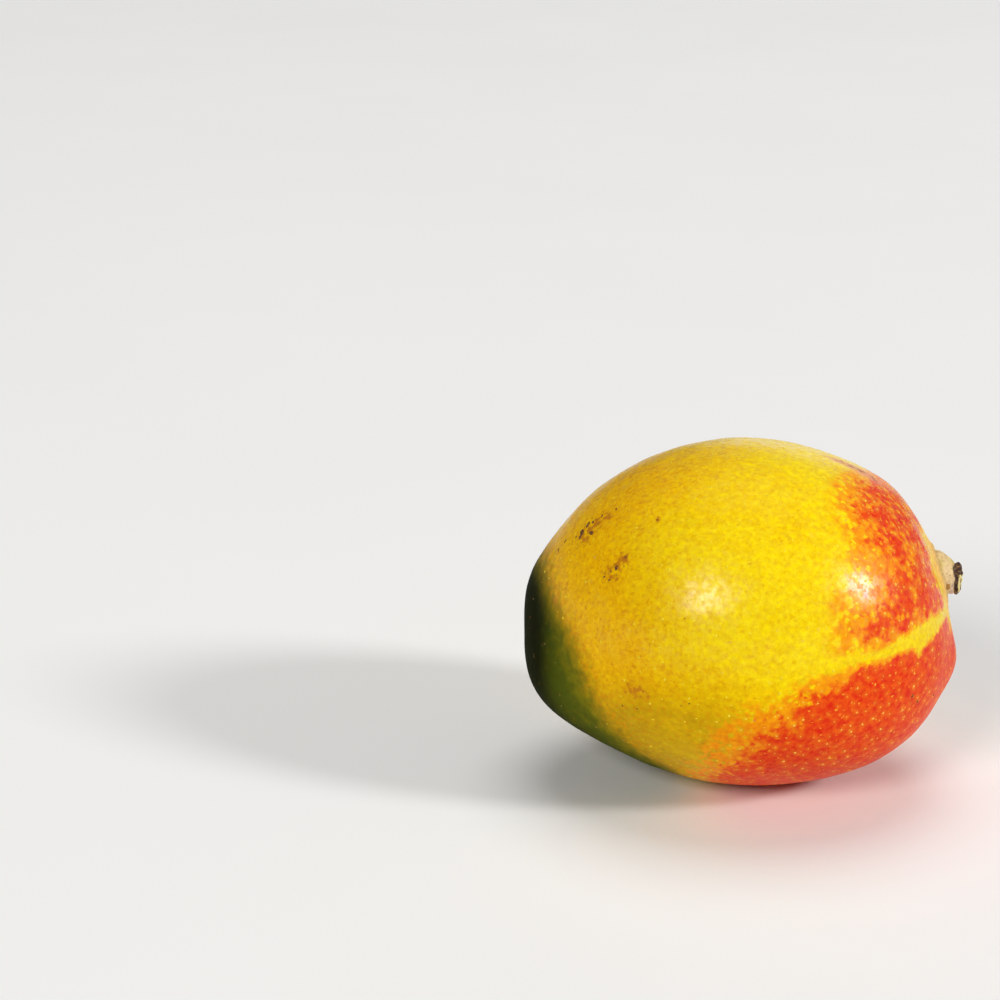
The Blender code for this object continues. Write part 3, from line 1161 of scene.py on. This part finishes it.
    def blush(self, directions: np.ndarray, away: np.ndarray) -> np.ndarray:
        """Strength of the blush, with the yellow streak through it and none by the stem.

        Args:
            directions: Unit vectors from the fruit's centre, one a row.
            away: Degrees of each from the stem.

        Returns:
            One value from 0 to 1 for each direction.
        """
        far = self.far_share * self.far_blush.strength(directions)
        high = self.high_share * self.high_blush.strength(directions)
        both = np.maximum(self.low_blush.strength(directions), high)
        clear = smooth((away - self.blush_away) / self.blush_soft)
        return np.maximum(both * (1.0 - self.streak.strength(directions)), far) * clear

    def values(self, form: FruitForm, directions: np.ndarray) -> dict[Mark, np.ndarray]:
        """Strength of every mark.

        Args:
            form: Shape of the fruit.
            directions: Unit vectors from its centre, one a row.

        Returns:
            One value a direction for each mark but the halos, which follow the dots.
        """
        away = form.away(directions)
        cork = bell(away - self.cork_away, self.cork_spread) + (away < self.cork_away)
        cream = smooth((self.cream_away + self.cream_soft - away) / (2.0 * self.cream_soft))
        blush, green = self.blush(directions, away), self.green.strength(directions)
        clear = smooth((away - self.cork_away - self.clear_of_cork) / self.cream_soft)
        shade, scar = self.total(self.shade, directions), self.scar.strength(directions)
        rise = np.degrees(np.arcsin(directions[:, 2]))
        wax = smooth((rise - self.wax_from) / (self.wax_full - self.wax_from)) * clear
        wax = wax * (1.0 - self.wax_lost_on_scar * scar)
        dots = clear * (self.dots_on_yellow + self.dots_more_on_red * np.sqrt(blush))
        return {
            Mark.BLUSH: blush,
            Mark.GREEN: green,
            Mark.SHADE: shade,
            Mark.WAX: wax * np.maximum(0.0, 1.0 - self.wax_lost_on_green * green),
            Mark.OLIVE: self.total(self.olive, directions),
            Mark.GOLD: self.total(self.gold, directions),
            Mark.CREAM_AND_SHEEN: np.maximum(cream, self.total(self.painted_sheen_top, directions)),
            Mark.CORK: np.clip(cork, 0.0, 1.0),
            Mark.RUSSET: self.total(self.russet, directions),
            Mark.SCAR: scar,
            Mark.DOTS: dots * (1.0 - self.dots_lost_on_green * green),
        }

    @staticmethod
    def total(clouds: tuple[Cloud, ...], directions: np.ndarray) -> np.ndarray:
        """Clouds laid over each other, at most 1."""
        return np.minimum(1.0, sum(cloud.strength(directions) for cloud in clouds))


@dataclass
class Fruit:
    """The fruit's skin, the pale dots and scabs on it, and the cork round its stem."""

    form: FruitForm = FruitForm()
    marks: SkinMarks = SkinMarks()
    finish: SkinFinish = SkinFinish()
    sides: int = 310
    rings: int = 300
    crowding: float = 1.35
    socket_rings: int = 3
    margin: float = 0.12 * MM
    dot_spacing: float = 2.2 * MM
    dot_radius: float = 0.29 * MM
    dot_height: float = 0.2
    dot_seed: int = 5
    halo_share: float = 2.8
    halo_reach: float = 0.45 * MM
    clear_of_floor: float = 1.5 * MM
    flakes_per_area: float = 7.0e5
    flake_radius: float = 0.22 * MM
    flake_height: float = 0.3
    flake_seed: int = 8
    fit: Fit = field(init=False)
    directions: np.ndarray = field(init=False)
    points: np.ndarray = field(init=False)

    def __post_init__(self) -> None:
        """Works out the rings of the skin and how they fit the CAD solid."""
        seat = self.form.seat
        edge = math.degrees(math.asin(self.form.socket_radius / seat))
        around = np.linspace(0.0, 2.0 * math.pi, self.sides, endpoint=False)
        floor = seat - self.form.socket_depth
        shares = [k / self.socket_rings for k in range(1, self.socket_rings + 1)]
        socket = [self.form.towards(edge * share, around) for share in shares]
        steps = [(k / self.rings) ** self.crowding for k in range(self.rings)]
        shell = [self.form.towards(edge + (180.0 - edge) * step, around) for step in steps]
        self.directions = np.concatenate([*socket, *shell, [self.form.axis], [-self.form.axis]])
        radii = self.form.skin_radius(self.directions)
        radii[: len(socket) * self.sides] = floor
        radii[-2] = floor
        points = self.directions * radii[:, None]
        points[:, 2] = np.maximum(points[:, 2], points[:, 2].min() + self.form.flat_depth)
        self.fit = Fit.into_box(points, "fruit", self.margin, floor=True)
        self.points = self.fit.place(points)

    def on_skin(self, directions: np.ndarray, height: float | np.ndarray) -> np.ndarray:
        """Points at a height over the skin.

        Args:
            directions: Unit vectors from the fruit's centre, one a row.
            height: Metres above the skin.

        Returns:
            The points in the row's frame.
        """
        reach = self.form.skin_radius(directions) + height
        return self.fit.place(directions * reach[:, None])

    def make_skin(self, effects: Effects) -> bpy.types.Object:
        """Builds the skin with the marks that its material reads.

        Args:
            effects: The shared node groups.

        Returns:
            The skin's piece.
        """
        loops = self.points[:-2].reshape(-1, self.sides, 3)
        mesh = lathe_mesh("skin", loops, self.points[-2], self.points[-1])
        for mark, values in self.marks.values(self.form, self.directions).items():
            if mark is Mark.DOTS:
                values = values * smooth(self.points[:, 2] / self.clear_of_floor - 1.0)
            write_attribute(mesh, mark.value, values)
        mesh.materials.append(self.finish.make(effects))
        skin = add_piece("skin", mesh)
        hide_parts("fruit")
        return skin

    def make_dots(self, skin: bpy.types.Object, effects: Effects) -> bpy.types.Object:
        """Strews the pale dots over the skin and marks the halos round them on it.

        Args:
            skin: The skin's piece.
            effects: The shared node groups.

        Returns:
            The dots' piece.
        """
        tree = strew_tree("strewn_dots", Grain.DOME, poisson=True)
        values = {
            "Spacing": self.dot_spacing,
            "Most": 1.0 / self.dot_spacing**2,
            "Radius": self.dot_radius,
            "Height": self.dot_height,
            "Seed": self.dot_seed,
            "Material": DotFinish().make(effects),
        }
        mesh = strewn_mesh("dots", skin.data, tree, values)
        points = np.zeros(len(mesh.vertices) * 3)
        mesh.vertices.foreach_get("co", points)
        groups = points.reshape(-1, DOME_POINTS, 3)
        middles = groups.mean(axis=1)
        sizes = np.linalg.norm(groups - middles[:, None], axis=2).max(axis=1)
        write_attribute(skin.data, Mark.HALO.value, self.halos(middles, sizes))
        return add_piece("dots", mesh)

    def halos(self, middles: np.ndarray, sizes: np.ndarray) -> np.ndarray:
        """How near each point of the skin is to a dot, from 0 to 1.

        Args:
            middles: Middle of each dot, one a row.
            sizes: Radius of each dot.

        Returns:
            One value a point of the skin.
        """
        tree = KDTree(len(middles))
        for k, middle in enumerate(middles):
            tree.insert(middle, k)
        tree.balance()
        found = [tree.find(point) for point in self.points]
        gaps = np.array([hit[2] for hit in found])
        reach = sizes[[hit[1] for hit in found]] * self.halo_share + self.halo_reach
        return np.exp(-((gaps / reach) ** 2))

    def make_flakes(self, skin: bpy.types.Object, effects: Effects) -> bpy.types.Object:
        """Strews cork flakes round the foot of the stem.

        Args:
            skin: The skin's piece.
            effects: The shared node groups.

        Returns:
            The flakes' piece.
        """
        tree = strew_tree("strewn_flakes", Grain.FLAKE, poisson=False)
        finish = CorkFinish("cork_flakes", dark=(0.48, 0.29, 0.10), light=(0.80, 0.58, 0.27))
        values = {
            "Most": self.flakes_per_area,
            "Radius": self.flake_radius,
            "Height": self.flake_height,
            "Seed": self.flake_seed,
            "Material": finish.make(effects),
        }
        return add_piece("cork_flakes", strewn_mesh("cork_flakes", skin.data, tree, values))


class Grain(Enum):
    """Small shape that is strewn over the skin, with the mark that says where."""

    DOME = Mark.DOTS.value
    FLAKE = Mark.CORK.value


DOME_SEGMENTS = 8
DOME_RINGS = 3
DOME_POINTS = DOME_SEGMENTS * (DOME_RINGS - 1) + 2

# Sizes of strewn grains as shares of their radius, and how rare the large ones are
LEAST_SIZE = 0.5
SIZE_RANGE = 1.05
RARITY = 2.2
# Least width of a grain as a share of its length
LEAST_WIDTH = 0.72
# One turn in radians, for the ways that the grains lie
ALL_ROUND = 6.283
# How sharply grains that are not kept apart crowd where their mark is strong
CROWDING = 3.0


def strew_tree(name: str, grain: Grain, poisson: bool) -> bpy.types.NodeTree:
    """Geometry Nodes that strew small lenses over a mesh, as thickly as a mark on it says.

    Args:
        name: Name of the tree.
        grain: Shape that is strewn, and the mark that it follows.
        poisson: True to keep the spacing even.

    Returns:
        The tree, whose inputs are the mesh, Spacing, Most, Radius, Height, Seed and Material.
    """
    tree = bpy.data.node_groups.new(name, "GeometryNodeTree")
    tree.is_modifier = True
    sockets = {
        "Geometry": "NodeSocketGeometry",
        "Spacing": FLOAT,
        "Most": FLOAT,
        "Radius": FLOAT,
        "Height": FLOAT,
        "Seed": "NodeSocketInt",
        "Material": "NodeSocketMaterial",
    }
    for socket, kind in sockets.items():
        tree.interface.new_socket(socket, in_out="INPUT", socket_type=kind)
    tree.interface.new_socket("Geometry", in_out="OUTPUT", socket_type="NodeSocketGeometry")
    graph = Graph(tree)
    given = tree.nodes.new("NodeGroupInput").outputs
    share = graph.node("GeometryNodeInputNamedAttribute", {"Name": grain.value}, data_type="FLOAT")
    spread = {"Mesh": given["Geometry"], "Seed": given["Seed"]}
    if poisson:
        spread |= {"Distance Min": given["Spacing"], "Density Max": given["Most"]}
        spread |= {"Density Factor": share.outputs["Attribute"]}
    else:
        steep = graph.math("POWER", share.outputs["Attribute"], CROWDING)
        spread |= {"Density": graph.times(steep, given["Most"])}
    method = "POISSON" if poisson else "RANDOM"
    points = graph.node(
        "GeometryNodeDistributePointsOnFaces", spread, distribute_method=method
    ).outputs
    if grain is Grain.DOME:
        shape = {"Segments": DOME_SEGMENTS, "Rings": DOME_RINGS, "Radius": given["Radius"]}
        lens = graph.node("GeometryNodeMeshUVSphere", shape).outputs["Mesh"]
    else:
        shape = {"Subdivisions": 1, "Radius": given["Radius"]}
        lens = graph.node("GeometryNodeMeshIcoSphere", shape).outputs["Mesh"]
    flat = graph.out("ShaderNodeCombineXYZ", {0: 1.0, 1: 1.0, 2: given["Height"]})
    lens = graph.out("GeometryNodeTransform", {"Geometry": lens, "Scale": flat})
    lens = graph.out("GeometryNodeSetShadeSmooth", {"Geometry": lens})
    rare = graph.math("POWER", graph.chance(0.0, 1.0, seed=3), RARITY)
    size = graph.plus(LEAST_SIZE, graph.times(rare, SIZE_RANGE))
    width = graph.times(size, graph.chance(LEAST_WIDTH, 1.0, seed=9))
    scale = graph.out("ShaderNodeCombineXYZ", {0: size, 1: width, 2: size})
    spin = graph.chance(0.0, ALL_ROUND, seed=4)
    turn = graph.out("ShaderNodeCombineXYZ", {0: 0.0, 1: 0.0, 2: spin})
    grains = {"Points": points["Points"], "Rotation": points["Rotation"]}
    grains |= {"Instance": lens, "Scale": scale}
    placed = graph.out("GeometryNodeInstanceOnPoints", grains)
    turned = graph.out("GeometryNodeRotateInstances", {"Instances": placed, "Rotation": turn})
    real = graph.out("GeometryNodeRealizeInstances", {"Geometry": turned})
    painted = {"Geometry": real, "Material": given["Material"]}
    graph.node("NodeGroupOutput", {0: graph.out("GeometryNodeSetMaterial", painted)})
    return tree


def strewn_mesh(
    name: str, base: bpy.types.Mesh, tree: bpy.types.NodeTree, values: dict
) -> bpy.types.Mesh:
    """Runs a strewing tree on a copy of a mesh.

    Args:
        name: Name of the mesh that is made.
        base: Mesh that the grains are strewn on.
        tree: The Geometry Nodes.
        values: The tree's inputs by name.

    Returns:
        A plain mesh of the grains alone.
    """
    bare = base.copy()
    bare.materials.clear()
    carrier = bpy.data.objects.new(name + "_carrier", bare)
    bpy.context.scene.collection.objects.link(carrier)
    modifier = carrier.modifiers.new("strew", "NODES")
    modifier.node_group = tree
    for item in tree.interface.items_tree:
        if item.in_out == "INPUT" and item.name in values:
            modifier[item.identifier] = values[item.name]
    depsgraph = bpy.context.evaluated_depsgraph_get()
    evaluated = carrier.evaluated_get(depsgraph)
    mesh = bpy.data.meshes.new_from_object(
        evaluated, preserve_all_data_layers=True, depsgraph=depsgraph
    )
    carrier.modifiers.remove(modifier)
    bpy.data.objects.remove(carrier)
    bpy.data.meshes.remove(bare)
    mesh.name = name
    return mesh


@dataclass(frozen=True)
class Scab:
    """Dry chip on the skin: the way it faces, and its radius and height in mm."""

    turn: float
    rise: float
    radius: float
    height: float = 0.12


@dataclass
class Scabs:
    """Small dry chips of dark cork on the skin, each an irregular low mound."""

    fruit: Fruit
    chips: tuple[Scab, ...] = (
        Scab(-157.1, 29.6, 0.95, 0.2), Scab(-156.4, 28.2, 0.6), Scab(-157.4, 32.6, 0.7),
        Scab(-155.6, 34.2, 0.45), Scab(-152.0, 31.4, 0.7), Scab(-153.6, 37.4, 0.4),
        Scab(-149.3, 41.6, 0.35), Scab(-158.8, 27.4, 0.35), Scab(-163.8, 24.1, 0.45),
        Scab(-164.6, 20.7, 0.4), Scab(-131.8, 25.8, 0.6, 0.18), Scab(-133.4, 24.2, 0.3),
        Scab(-130.0, 29.8, 0.32), Scab(-132.7, 21.7, 0.28), Scab(-135.2, 22.0, 0.3),
        Scab(-129.0, 27.0, 0.2), Scab(-125.0, 44.0, 0.25), Scab(-122.8, -14.9, 0.24),
        Scab(-117.7, -15.0, 0.24), Scab(-103.0, -11.4, 0.18), Scab(-100.5, -10.3, 0.22),
        Scab(-29.6, -11.9, 0.42), Scab(-26.5, -14.5, 0.36), Scab(-18.0, -14.8, 0.25),
        Scab(118.0, 40.0, 0.8, 0.18), Scab(121.0, 37.0, 0.5), Scab(115.5, 42.5, 0.35),
        Scab(64.0, 52.0, 0.5), Scab(66.5, 49.5, 0.3), Scab(140.0, -2.0, 0.6),
        Scab(143.0, -4.5, 0.35), Scab(98.0, 8.0, 0.3), Scab(80.0, -20.0, 0.3),
    )
    crumbs: int = 90
    crumb_seed: int = 21
    crumb_spread: float = 3.0
    crumb_radii: tuple[float, float] = (0.07, 0.17)
    crumb_height: float = 0.06
    large: float = 0.5
    lobe: float = 0.28
    raggedness: float = 0.22
    sides: int = 11
    profile: tuple[tuple[float, float], ...] = (
        (1.0, -0.3), (0.86, 0.45), (0.55, 0.85), (0.25, 1.0),
    )
    base: float = -0.5

    def all_chips(self) -> list[Scab]:
        """Adds crumbs round the larger chips, by a fixed seed.

        Returns:
            The chips set by hand and then the crumbs.
        """
        draw = np.random.default_rng(self.crumb_seed)
        large = [chip for chip in self.chips if chip.radius >= self.large]
        made = list(self.chips)
        for _ in range(self.crumbs):
            near = large[int(draw.integers(len(large)))]
            sideways = draw.normal(0.0, self.crumb_spread)
            turn = near.turn + sideways / math.cos(math.radians(near.rise))
            rise = near.rise + draw.normal(0.0, self.crumb_spread)
            radius = float(draw.uniform(*self.crumb_radii))
            made.append(Scab(turn, rise, radius, self.crumb_height))
        return made

    def mound(self, chip: Scab, draw: np.random.Generator) -> tuple[np.ndarray, Faces]:
        """Points and faces of one chip, closed by a low cone underneath.

        Args:
            chip: The chip.
            draw: Seeded source of its irregular edge.

        Returns:
            Points in the row's frame, and faces that index them.
        """
        middle = heading(chip.turn, chip.rise)
        east = unit(np.cross([0.0, 0.0, 1.0], middle))
        north = np.cross(middle, east)
        around = np.linspace(0.0, 2.0 * math.pi, self.sides, endpoint=False)
        lobes = 1.0 + self.lobe * np.sin(2.0 * around + draw.uniform(0.0, 6.0))
        lobes += draw.uniform(-self.raggedness, self.raggedness, self.sides)
        angle = math.degrees(chip.radius * MM / self.fruit.form.half_width)
        ways, heights = [], []
        for share, lift in self.profile:
            reach = np.radians(angle) * share * lobes
            sideways = np.outer(np.cos(around) * reach, east)
            ways.append(middle + sideways + np.outer(np.sin(around) * reach, north))
            heights.append(np.full(self.sides, chip.height * MM * lift))
        ways.append(middle[None])
        heights.append(np.array([chip.height * MM]))
        ways.append(middle[None])
        heights.append(np.array([self.base * chip.height * MM]))
        points = self.fruit.on_skin(unit(np.concatenate(ways)), np.concatenate(heights))
        count = len(self.profile)
        faces = []
        for k in range(self.sides):
            j = (k + 1) % self.sides
            for ring in range(count - 1):
                low, high = ring * self.sides, (ring + 1) * self.sides
                faces.append((low + k, low + j, high + j, high + k))
            top = (count - 1) * self.sides
            faces.append((top + k, top + j, count * self.sides))
            faces.append((j, k, count * self.sides + 1))
        return points, faces

    def make(self, effects: Effects) -> bpy.types.Object:
        """Builds all the chips as one piece.

        Args:
            effects: The shared node groups.

        Returns:
            The chips' piece.
        """
        draw = np.random.default_rng(self.crumb_seed + 1)
        points, faces = [], []
        for chip in self.all_chips():
            start = sum(len(part) for part in points)
            part, part_faces = self.mound(chip, draw)
            points.append(part)
            faces += [tuple(start + index for index in face) for face in part_faces]
        mesh = bpy.data.meshes.new("scabs")
        mesh.from_pydata(np.concatenate(points).tolist(), [], faces)
        mesh.shade_smooth()
        finish = CorkFinish("scab_cork", dark=(0.07, 0.024, 0.005), light=(0.34, 0.12, 0.013))
        mesh.materials.append(finish.make(effects))
        return add_piece("scabs", mesh)


@dataclass(frozen=True)
class StemPatch:
    """Soft patch on the stub: its side in degrees and height in mm, with the spread of each."""

    side: float
    side_spread: float
    height: float
    height_spread: float

    def nearness(self, turn: np.ndarray, spread: float) -> np.ndarray:
        """Bell curve about the patch's side, with any spread."""
        return bell((turn - self.side + 180.0) % 360.0 - 180.0, spread)

    def strength(self, turn: np.ndarray, height: np.ndarray) -> np.ndarray:
        """Strength of the patch at points by their side and height."""
        level = bell(height - self.height, self.height_spread)
        return level * self.nearness(turn, self.side_spread)


@dataclass
class StemStub:
    """The stem stub: a root in the socket, a lopsided pale cone, a neck and a broken cap."""

    fruit: Fruit
    finish: StemFinish = StemFinish()
    sides: int = 120
    steps: int = 7
    clearance: float = 0.3 * MM
    rings: tuple[tuple[float, float, float], ...] = (
        (-0.3, 6.0, 0.0), (0.6, 5.75, 0.2), (1.4, 5.3, 0.75), (2.15, 4.75, 1.45),
        (2.7, 4.2, 2.05), (3.0, 3.8, 2.35), (3.35, 4.0, 2.5), (3.9, 3.95, 2.6),
        (4.35, 3.6, 2.7), (4.7, 2.95, 2.75), (4.7, 2.4, 2.75), (4.3, 1.8, 2.75),
        (4.45, 0.5, 2.75),
    )
    lean: float = 0.1 / MM
    ridges: int = 5
    ridge_share: float = 0.06
    ridge_sway: float = 2.0
    whole_below: float = 1.6 * MM
    rough_above: float = 4.7 * MM
    cap_from: float = 2.35 * MM
    cap_soft: float = 0.7 * MM
    tear: float = 0.4 * MM
    torn: tuple[tuple[float, float, float], ...] = ((0.6, 2.0, 0.5), (0.4, 5.0, 2.0))
    oval_share: float = 0.05
    oval_turn: float = 0.6
    crescent: StemPatch = StemPatch(-95.0, 42.0, 3.95, 0.26)
    # Where the duller mauve lies: the lower near side of the cone, below the cap
    mauve_below: StemPatch = StemPatch(215.0, 35.0, 2.0, 0.7)
    spot: StemPatch = StemPatch(247.0, 11.0, 0.7, 0.7)
    end_from: float = 4.2
    end_soft: float = 0.4
    ring_radius: float = 2.9
    ring_width: float = 0.4
    ring_all_round: float = 0.35
    ring_near: float = 0.65
    ring_near_spread: float = 80.0
    pith_radius: float = 2.6
    pith_soft: float = 0.5
    margin: float = 0.05 * MM
    bark: Ripples = Ripples(seed=31, shortest=0.7 * MM, longest=2.2 * MM, height=0.16 * MM)

    def profile(self) -> np.ndarray:
        """Draws a smooth line through the rings.

        Returns:
            Rows of height, radius and sag, in metres.
        """
        form = self.fruit.form
        root = (self.clearance - form.socket_depth, form.socket_radius - self.clearance, 0.0)
        knots = np.array([root] + [tuple(value * MM for value in ring) for ring in self.rings])
        before = np.concatenate([knots[:1], knots[:-1]])
        after = np.concatenate([knots[1:], knots[-1:]])
        slopes = (after - before) / 2.0
        rows = []
        for k in range(len(knots) - 1):
            for t in np.arange(self.steps) / self.steps:
                rows.append(
                    (2 * t**3 - 3 * t**2 + 1) * knots[k]
                    + (t**3 - 2 * t**2 + t) * slopes[k]
                    + (3 * t**2 - 2 * t**3) * knots[k + 1]
                    + (t**3 - t**2) * slopes[k + 1]
                )
        rows.append(knots[-1])
        return np.array(rows)

    def make(self, effects: Effects) -> bpy.types.Object:
        """Builds the stub with the marks that its material reads.

        Args:
            effects: The shared node groups.

        Returns:
            The stub's piece.
        """
        form = self.fruit.form
        rows = self.profile()
        around = np.linspace(0.0, 2.0 * math.pi, self.sides, endpoint=False)
        height, radius, sag = (rows[:, [k]] for k in range(3))
        rough = np.maximum(0.0, height - self.whole_below) / (self.rough_above - self.whole_below)
        swayed = self.ridges * around + self.ridge_sway * np.sin(around)
        ridges = self.ridge_share * np.cos(swayed)
        oval = self.oval_share * np.cos(2.0 * around + self.oval_turn)
        reach = radius * (1.0 + rough * (ridges + oval))
        tip = self.lean * sag * reach * np.cos(around)
        lift = form.seat + height + tip
        middle = lift[..., None] * form.axis - sag[..., None] * form.up
        spokes = form.across(around)[None]
        loops = middle + spokes * reach[..., None]
        flat = loops.reshape(-1, 3)
        torn = sum(size * np.sin(count * around + turn) for size, count, turn in self.torn)
        cap = smooth((height - self.cap_from - self.tear * torn) / self.cap_soft).ravel()
        knobs = self.bark.at(flat) * cap
        flat = flat + knobs[:, None] * unit(flat - form.axis * form.seat)
        root = form.axis * (form.seat + rows[0, 0])
        crown = loops[-1].mean(axis=0)
        points = np.concatenate([flat, [root], [crown]])
        placed = Fit.into_box(points, "stem", self.margin, floor=False).place(points)
        shape = (len(rows), self.sides, 3)
        mesh = lathe_mesh("stem_stub", placed[:-2].reshape(shape), placed[-2], placed[-1])
        for mark, values in self.marks(rows, around, cap).items():
            write_attribute(mesh, mark.value, np.concatenate([values, values[[0, -1]]]))
        mesh.materials.append(self.finish.make(effects))
        stub = add_piece("stem_stub", mesh)
        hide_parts("stem")
        return stub

    def marks(
        self, rows: np.ndarray, around: np.ndarray, cap: np.ndarray
    ) -> dict[StemMark, np.ndarray]:
        """Strength of every mark on the stub.

        Args:
            rows: Height, radius and sag of each ring.
            around: Radians about the stem of each point of a ring.
            cap: How much of the broken cap each point is.

        Returns:
            One value a point of the rings for each mark.
        """
        turn = np.degrees(np.tile(around, (len(rows), 1)))
        height = np.repeat(rows[:, :1], len(around), axis=1) / MM
        radius = np.repeat(rows[:, 1:2], len(around), axis=1) / MM
        on_end = smooth((height - self.end_from) / self.end_soft)
        near = self.crescent.nearness(turn, self.ring_near_spread)
        ring = on_end * bell(radius - self.ring_radius, self.ring_width)
        ring = ring * (self.ring_all_round + self.ring_near * near)
        return {
            StemMark.CAP: cap,
            StemMark.WOOD: np.maximum(self.crescent.strength(turn, height), ring).ravel(),
            StemMark.PITH: (on_end * smooth((self.pith_radius - radius) / self.pith_soft)).ravel(),
            StemMark.MAUVE_BELOW: self.mauve_below.strength(turn, height).ravel(),
            StemMark.SPOT: self.spot.strength(turn, height).ravel(),
        }


@dataclass(frozen=True)
class Softbox:
    """Round area light: the way it lies from the fruit, its distance, radius and power."""

    name: str
    way: tuple[float, float, float]
    distance: float
    radius: float
    watts: float
    colour: Colour = (1.0, 1.0, 1.0)
    mirrored: bool = True

    def make(self, aim: np.ndarray) -> None:
        """Hangs the light so that it faces the fruit.

        Args:
            aim: The fruit's centre.
        """
        data = bpy.data.lights.new(self.name, "AREA")
        data.shape = "DISK"
        data.size = 2.0 * self.radius
        data.energy = self.watts
        data.color = self.colour
        light = bpy.data.objects.new(self.name, data)
        light.visible_glossy = self.mirrored
        way = Vector(self.way).normalized()
        turn = (-way).to_track_quat("-Z", "Y").to_matrix().to_4x4()
        light.matrix_world = Matrix.Translation(Vector(aim) + way * self.distance) @ turn
        bpy.context.scene.collection.objects.link(light)


@dataclass
class Studio:
    """Pale floor, soft lights, a plain bright surround and the camera."""

    fruit: Fruit
    floor_radius: float = 5.0
    floor_sides: int = 96
    floor_drop: float = 0.1 * MM
    azimuth: float = 4.0
    elevation: float = 20.0
    distance: float = 0.731
    lens: float = 100.0
    sensor: float = 36.0
    image: float = 1000.0
    aim_pixel: tuple[float, float] = (740.0, 612.0)
    aim_offset: tuple[float, float, float] = (0.06 * MM, 0.0, -0.73 * MM)
    aim_rounds: int = 12
    clip: tuple[float, float] = (0.01, 30.0)
    surround_strength: float = 0.32
    surround_left: Colour = (0.04, 0.04, 0.04)
    surround_right: Colour = (0.6, 0.6, 0.6)
    surround_above: Colour = (0.5, 0.5, 0.5)
    lights: tuple[Softbox, ...] = (
        Softbox("key_from_right", (0.87, -0.18, 0.46), 8.0, 0.7, 310.0),
        Softbox("fill_from_front", (-0.31, -0.80, 0.51), 8.0, 1.5, 300.0, (1.0, 0.97, 0.92)),
        Softbox("sky_from_behind", (0.06, 0.97, 0.16), 8.0, 1.8, 27.0),
        Softbox("sky_from_above", (0.0, 0.3, 0.95), 8.0, 2.7, 250.0, mirrored=False),
    )

    def make_floor(self, effects: Effects) -> None:
        """Lays a round pale floor just under the fruit.

        Args:
            effects: The shared node groups.
        """
        angles = [2.0 * math.pi * k / self.floor_sides for k in range(self.floor_sides)]
        rim = [(math.cos(a) * self.floor_radius, math.sin(a) * self.floor_radius) for a in angles]
        mesh = bpy.data.meshes.new("floor")
        mesh.from_pydata([(x, y, -self.floor_drop) for x, y in rim], [], [range(self.floor_sides)])
        mesh.materials.append(FloorFinish().make(effects))
        floor = bpy.data.objects.new("floor", mesh)
        bpy.context.scene.collection.objects.link(floor)

    def make_world(self) -> None:
        """Surround that is bright behind and to the right, and dimmer to the left."""
        world = bpy.data.worlds.new("surround")
        world.use_nodes = True
        graph = Graph(world.node_tree)
        where = graph.node("ShaderNodeTexCoord").outputs["Generated"]
        axes = graph.node("ShaderNodeSeparateXYZ", {0: where}).outputs
        side = graph.plus(graph.times(axes[0], 0.9), graph.times(axes[1], 0.3))
        bright = graph.step(side, -0.75, 0.75)
        colour = graph.mix(bright, self.surround_left, self.surround_right)
        colour = graph.mix(graph.step(axes[2], 0.3, 0.9), colour, self.surround_above)
        background = world.node_tree.nodes["Background"]
        graph.fill(background, {"Color": colour, "Strength": self.surround_strength})
        bpy.context.scene.world = world

    def make_camera(self) -> None:
        """Sets the camera so that the fruit's centre falls on its pixel, with a level horizon."""
        a, e = math.radians(self.azimuth), math.radians(self.elevation)
        back = Vector((math.sin(a) * math.cos(e), -math.cos(a) * math.cos(e), math.sin(e)))
        aim = Vector(self.fruit.fit.shift) + Vector(self.aim_offset)
        half = self.image / 2.0
        across = (self.aim_pixel[0] - half) / self.image * self.sensor / self.lens
        above = (half - self.aim_pixel[1]) / self.image * self.sensor / self.lens
        wanted = -back
        forward = wanted.copy()
        for _ in range(self.aim_rounds):
            right = forward.cross(Vector((0.0, 0.0, 1.0))).normalized()
            seen = (forward + right * across + right.cross(forward) * above).normalized()
            forward = (forward + wanted - seen).normalized()
        data = bpy.data.cameras.new("camera")
        data.lens = self.lens
        data.sensor_width = self.sensor
        data.clip_start, data.clip_end = self.clip
        camera = bpy.data.objects.new("camera", data)
        right = forward.cross(Vector((0.0, 0.0, 1.0))).normalized()
        turn = Matrix((right, right.cross(forward), -forward)).transposed().to_4x4()
        camera.matrix_world = Matrix.Translation(aim + back * self.distance) @ turn
        bpy.context.scene.collection.objects.link(camera)
        bpy.context.scene.camera = camera

    def make(self, effects: Effects) -> None:
        """Builds the whole studio.

        Args:
            effects: The shared node groups.
        """
        bpy.context.scene.view_settings.view_transform = "Standard"
        self.make_floor(effects)
        self.make_world()
        for light in self.lights:
            light.make(self.fruit.fit.shift)
        self.make_camera()
        log.info("studio: floor, surround, %d lights and camera", len(self.lights))


def main() -> None:
    """Builds the fruit, what lies on its skin, the stem stub and the studio, in that order."""
    logging.basicConfig(level=logging.INFO, format="%(name)s %(message)s")
    effects = Effects()
    fruit = Fruit()
    skin = fruit.make_skin(effects)
    pieces = [
        skin,
        fruit.make_dots(skin, effects),
        fruit.make_flakes(skin, effects),
        Scabs(fruit).make(effects),
        StemStub(fruit).make(effects),
    ]
    log.info("%d pieces, %d faces", len(pieces), sum(len(piece.data.polygons) for piece in pieces))
    Studio(fruit).make(effects)


if __name__ == "__main__":
    main()
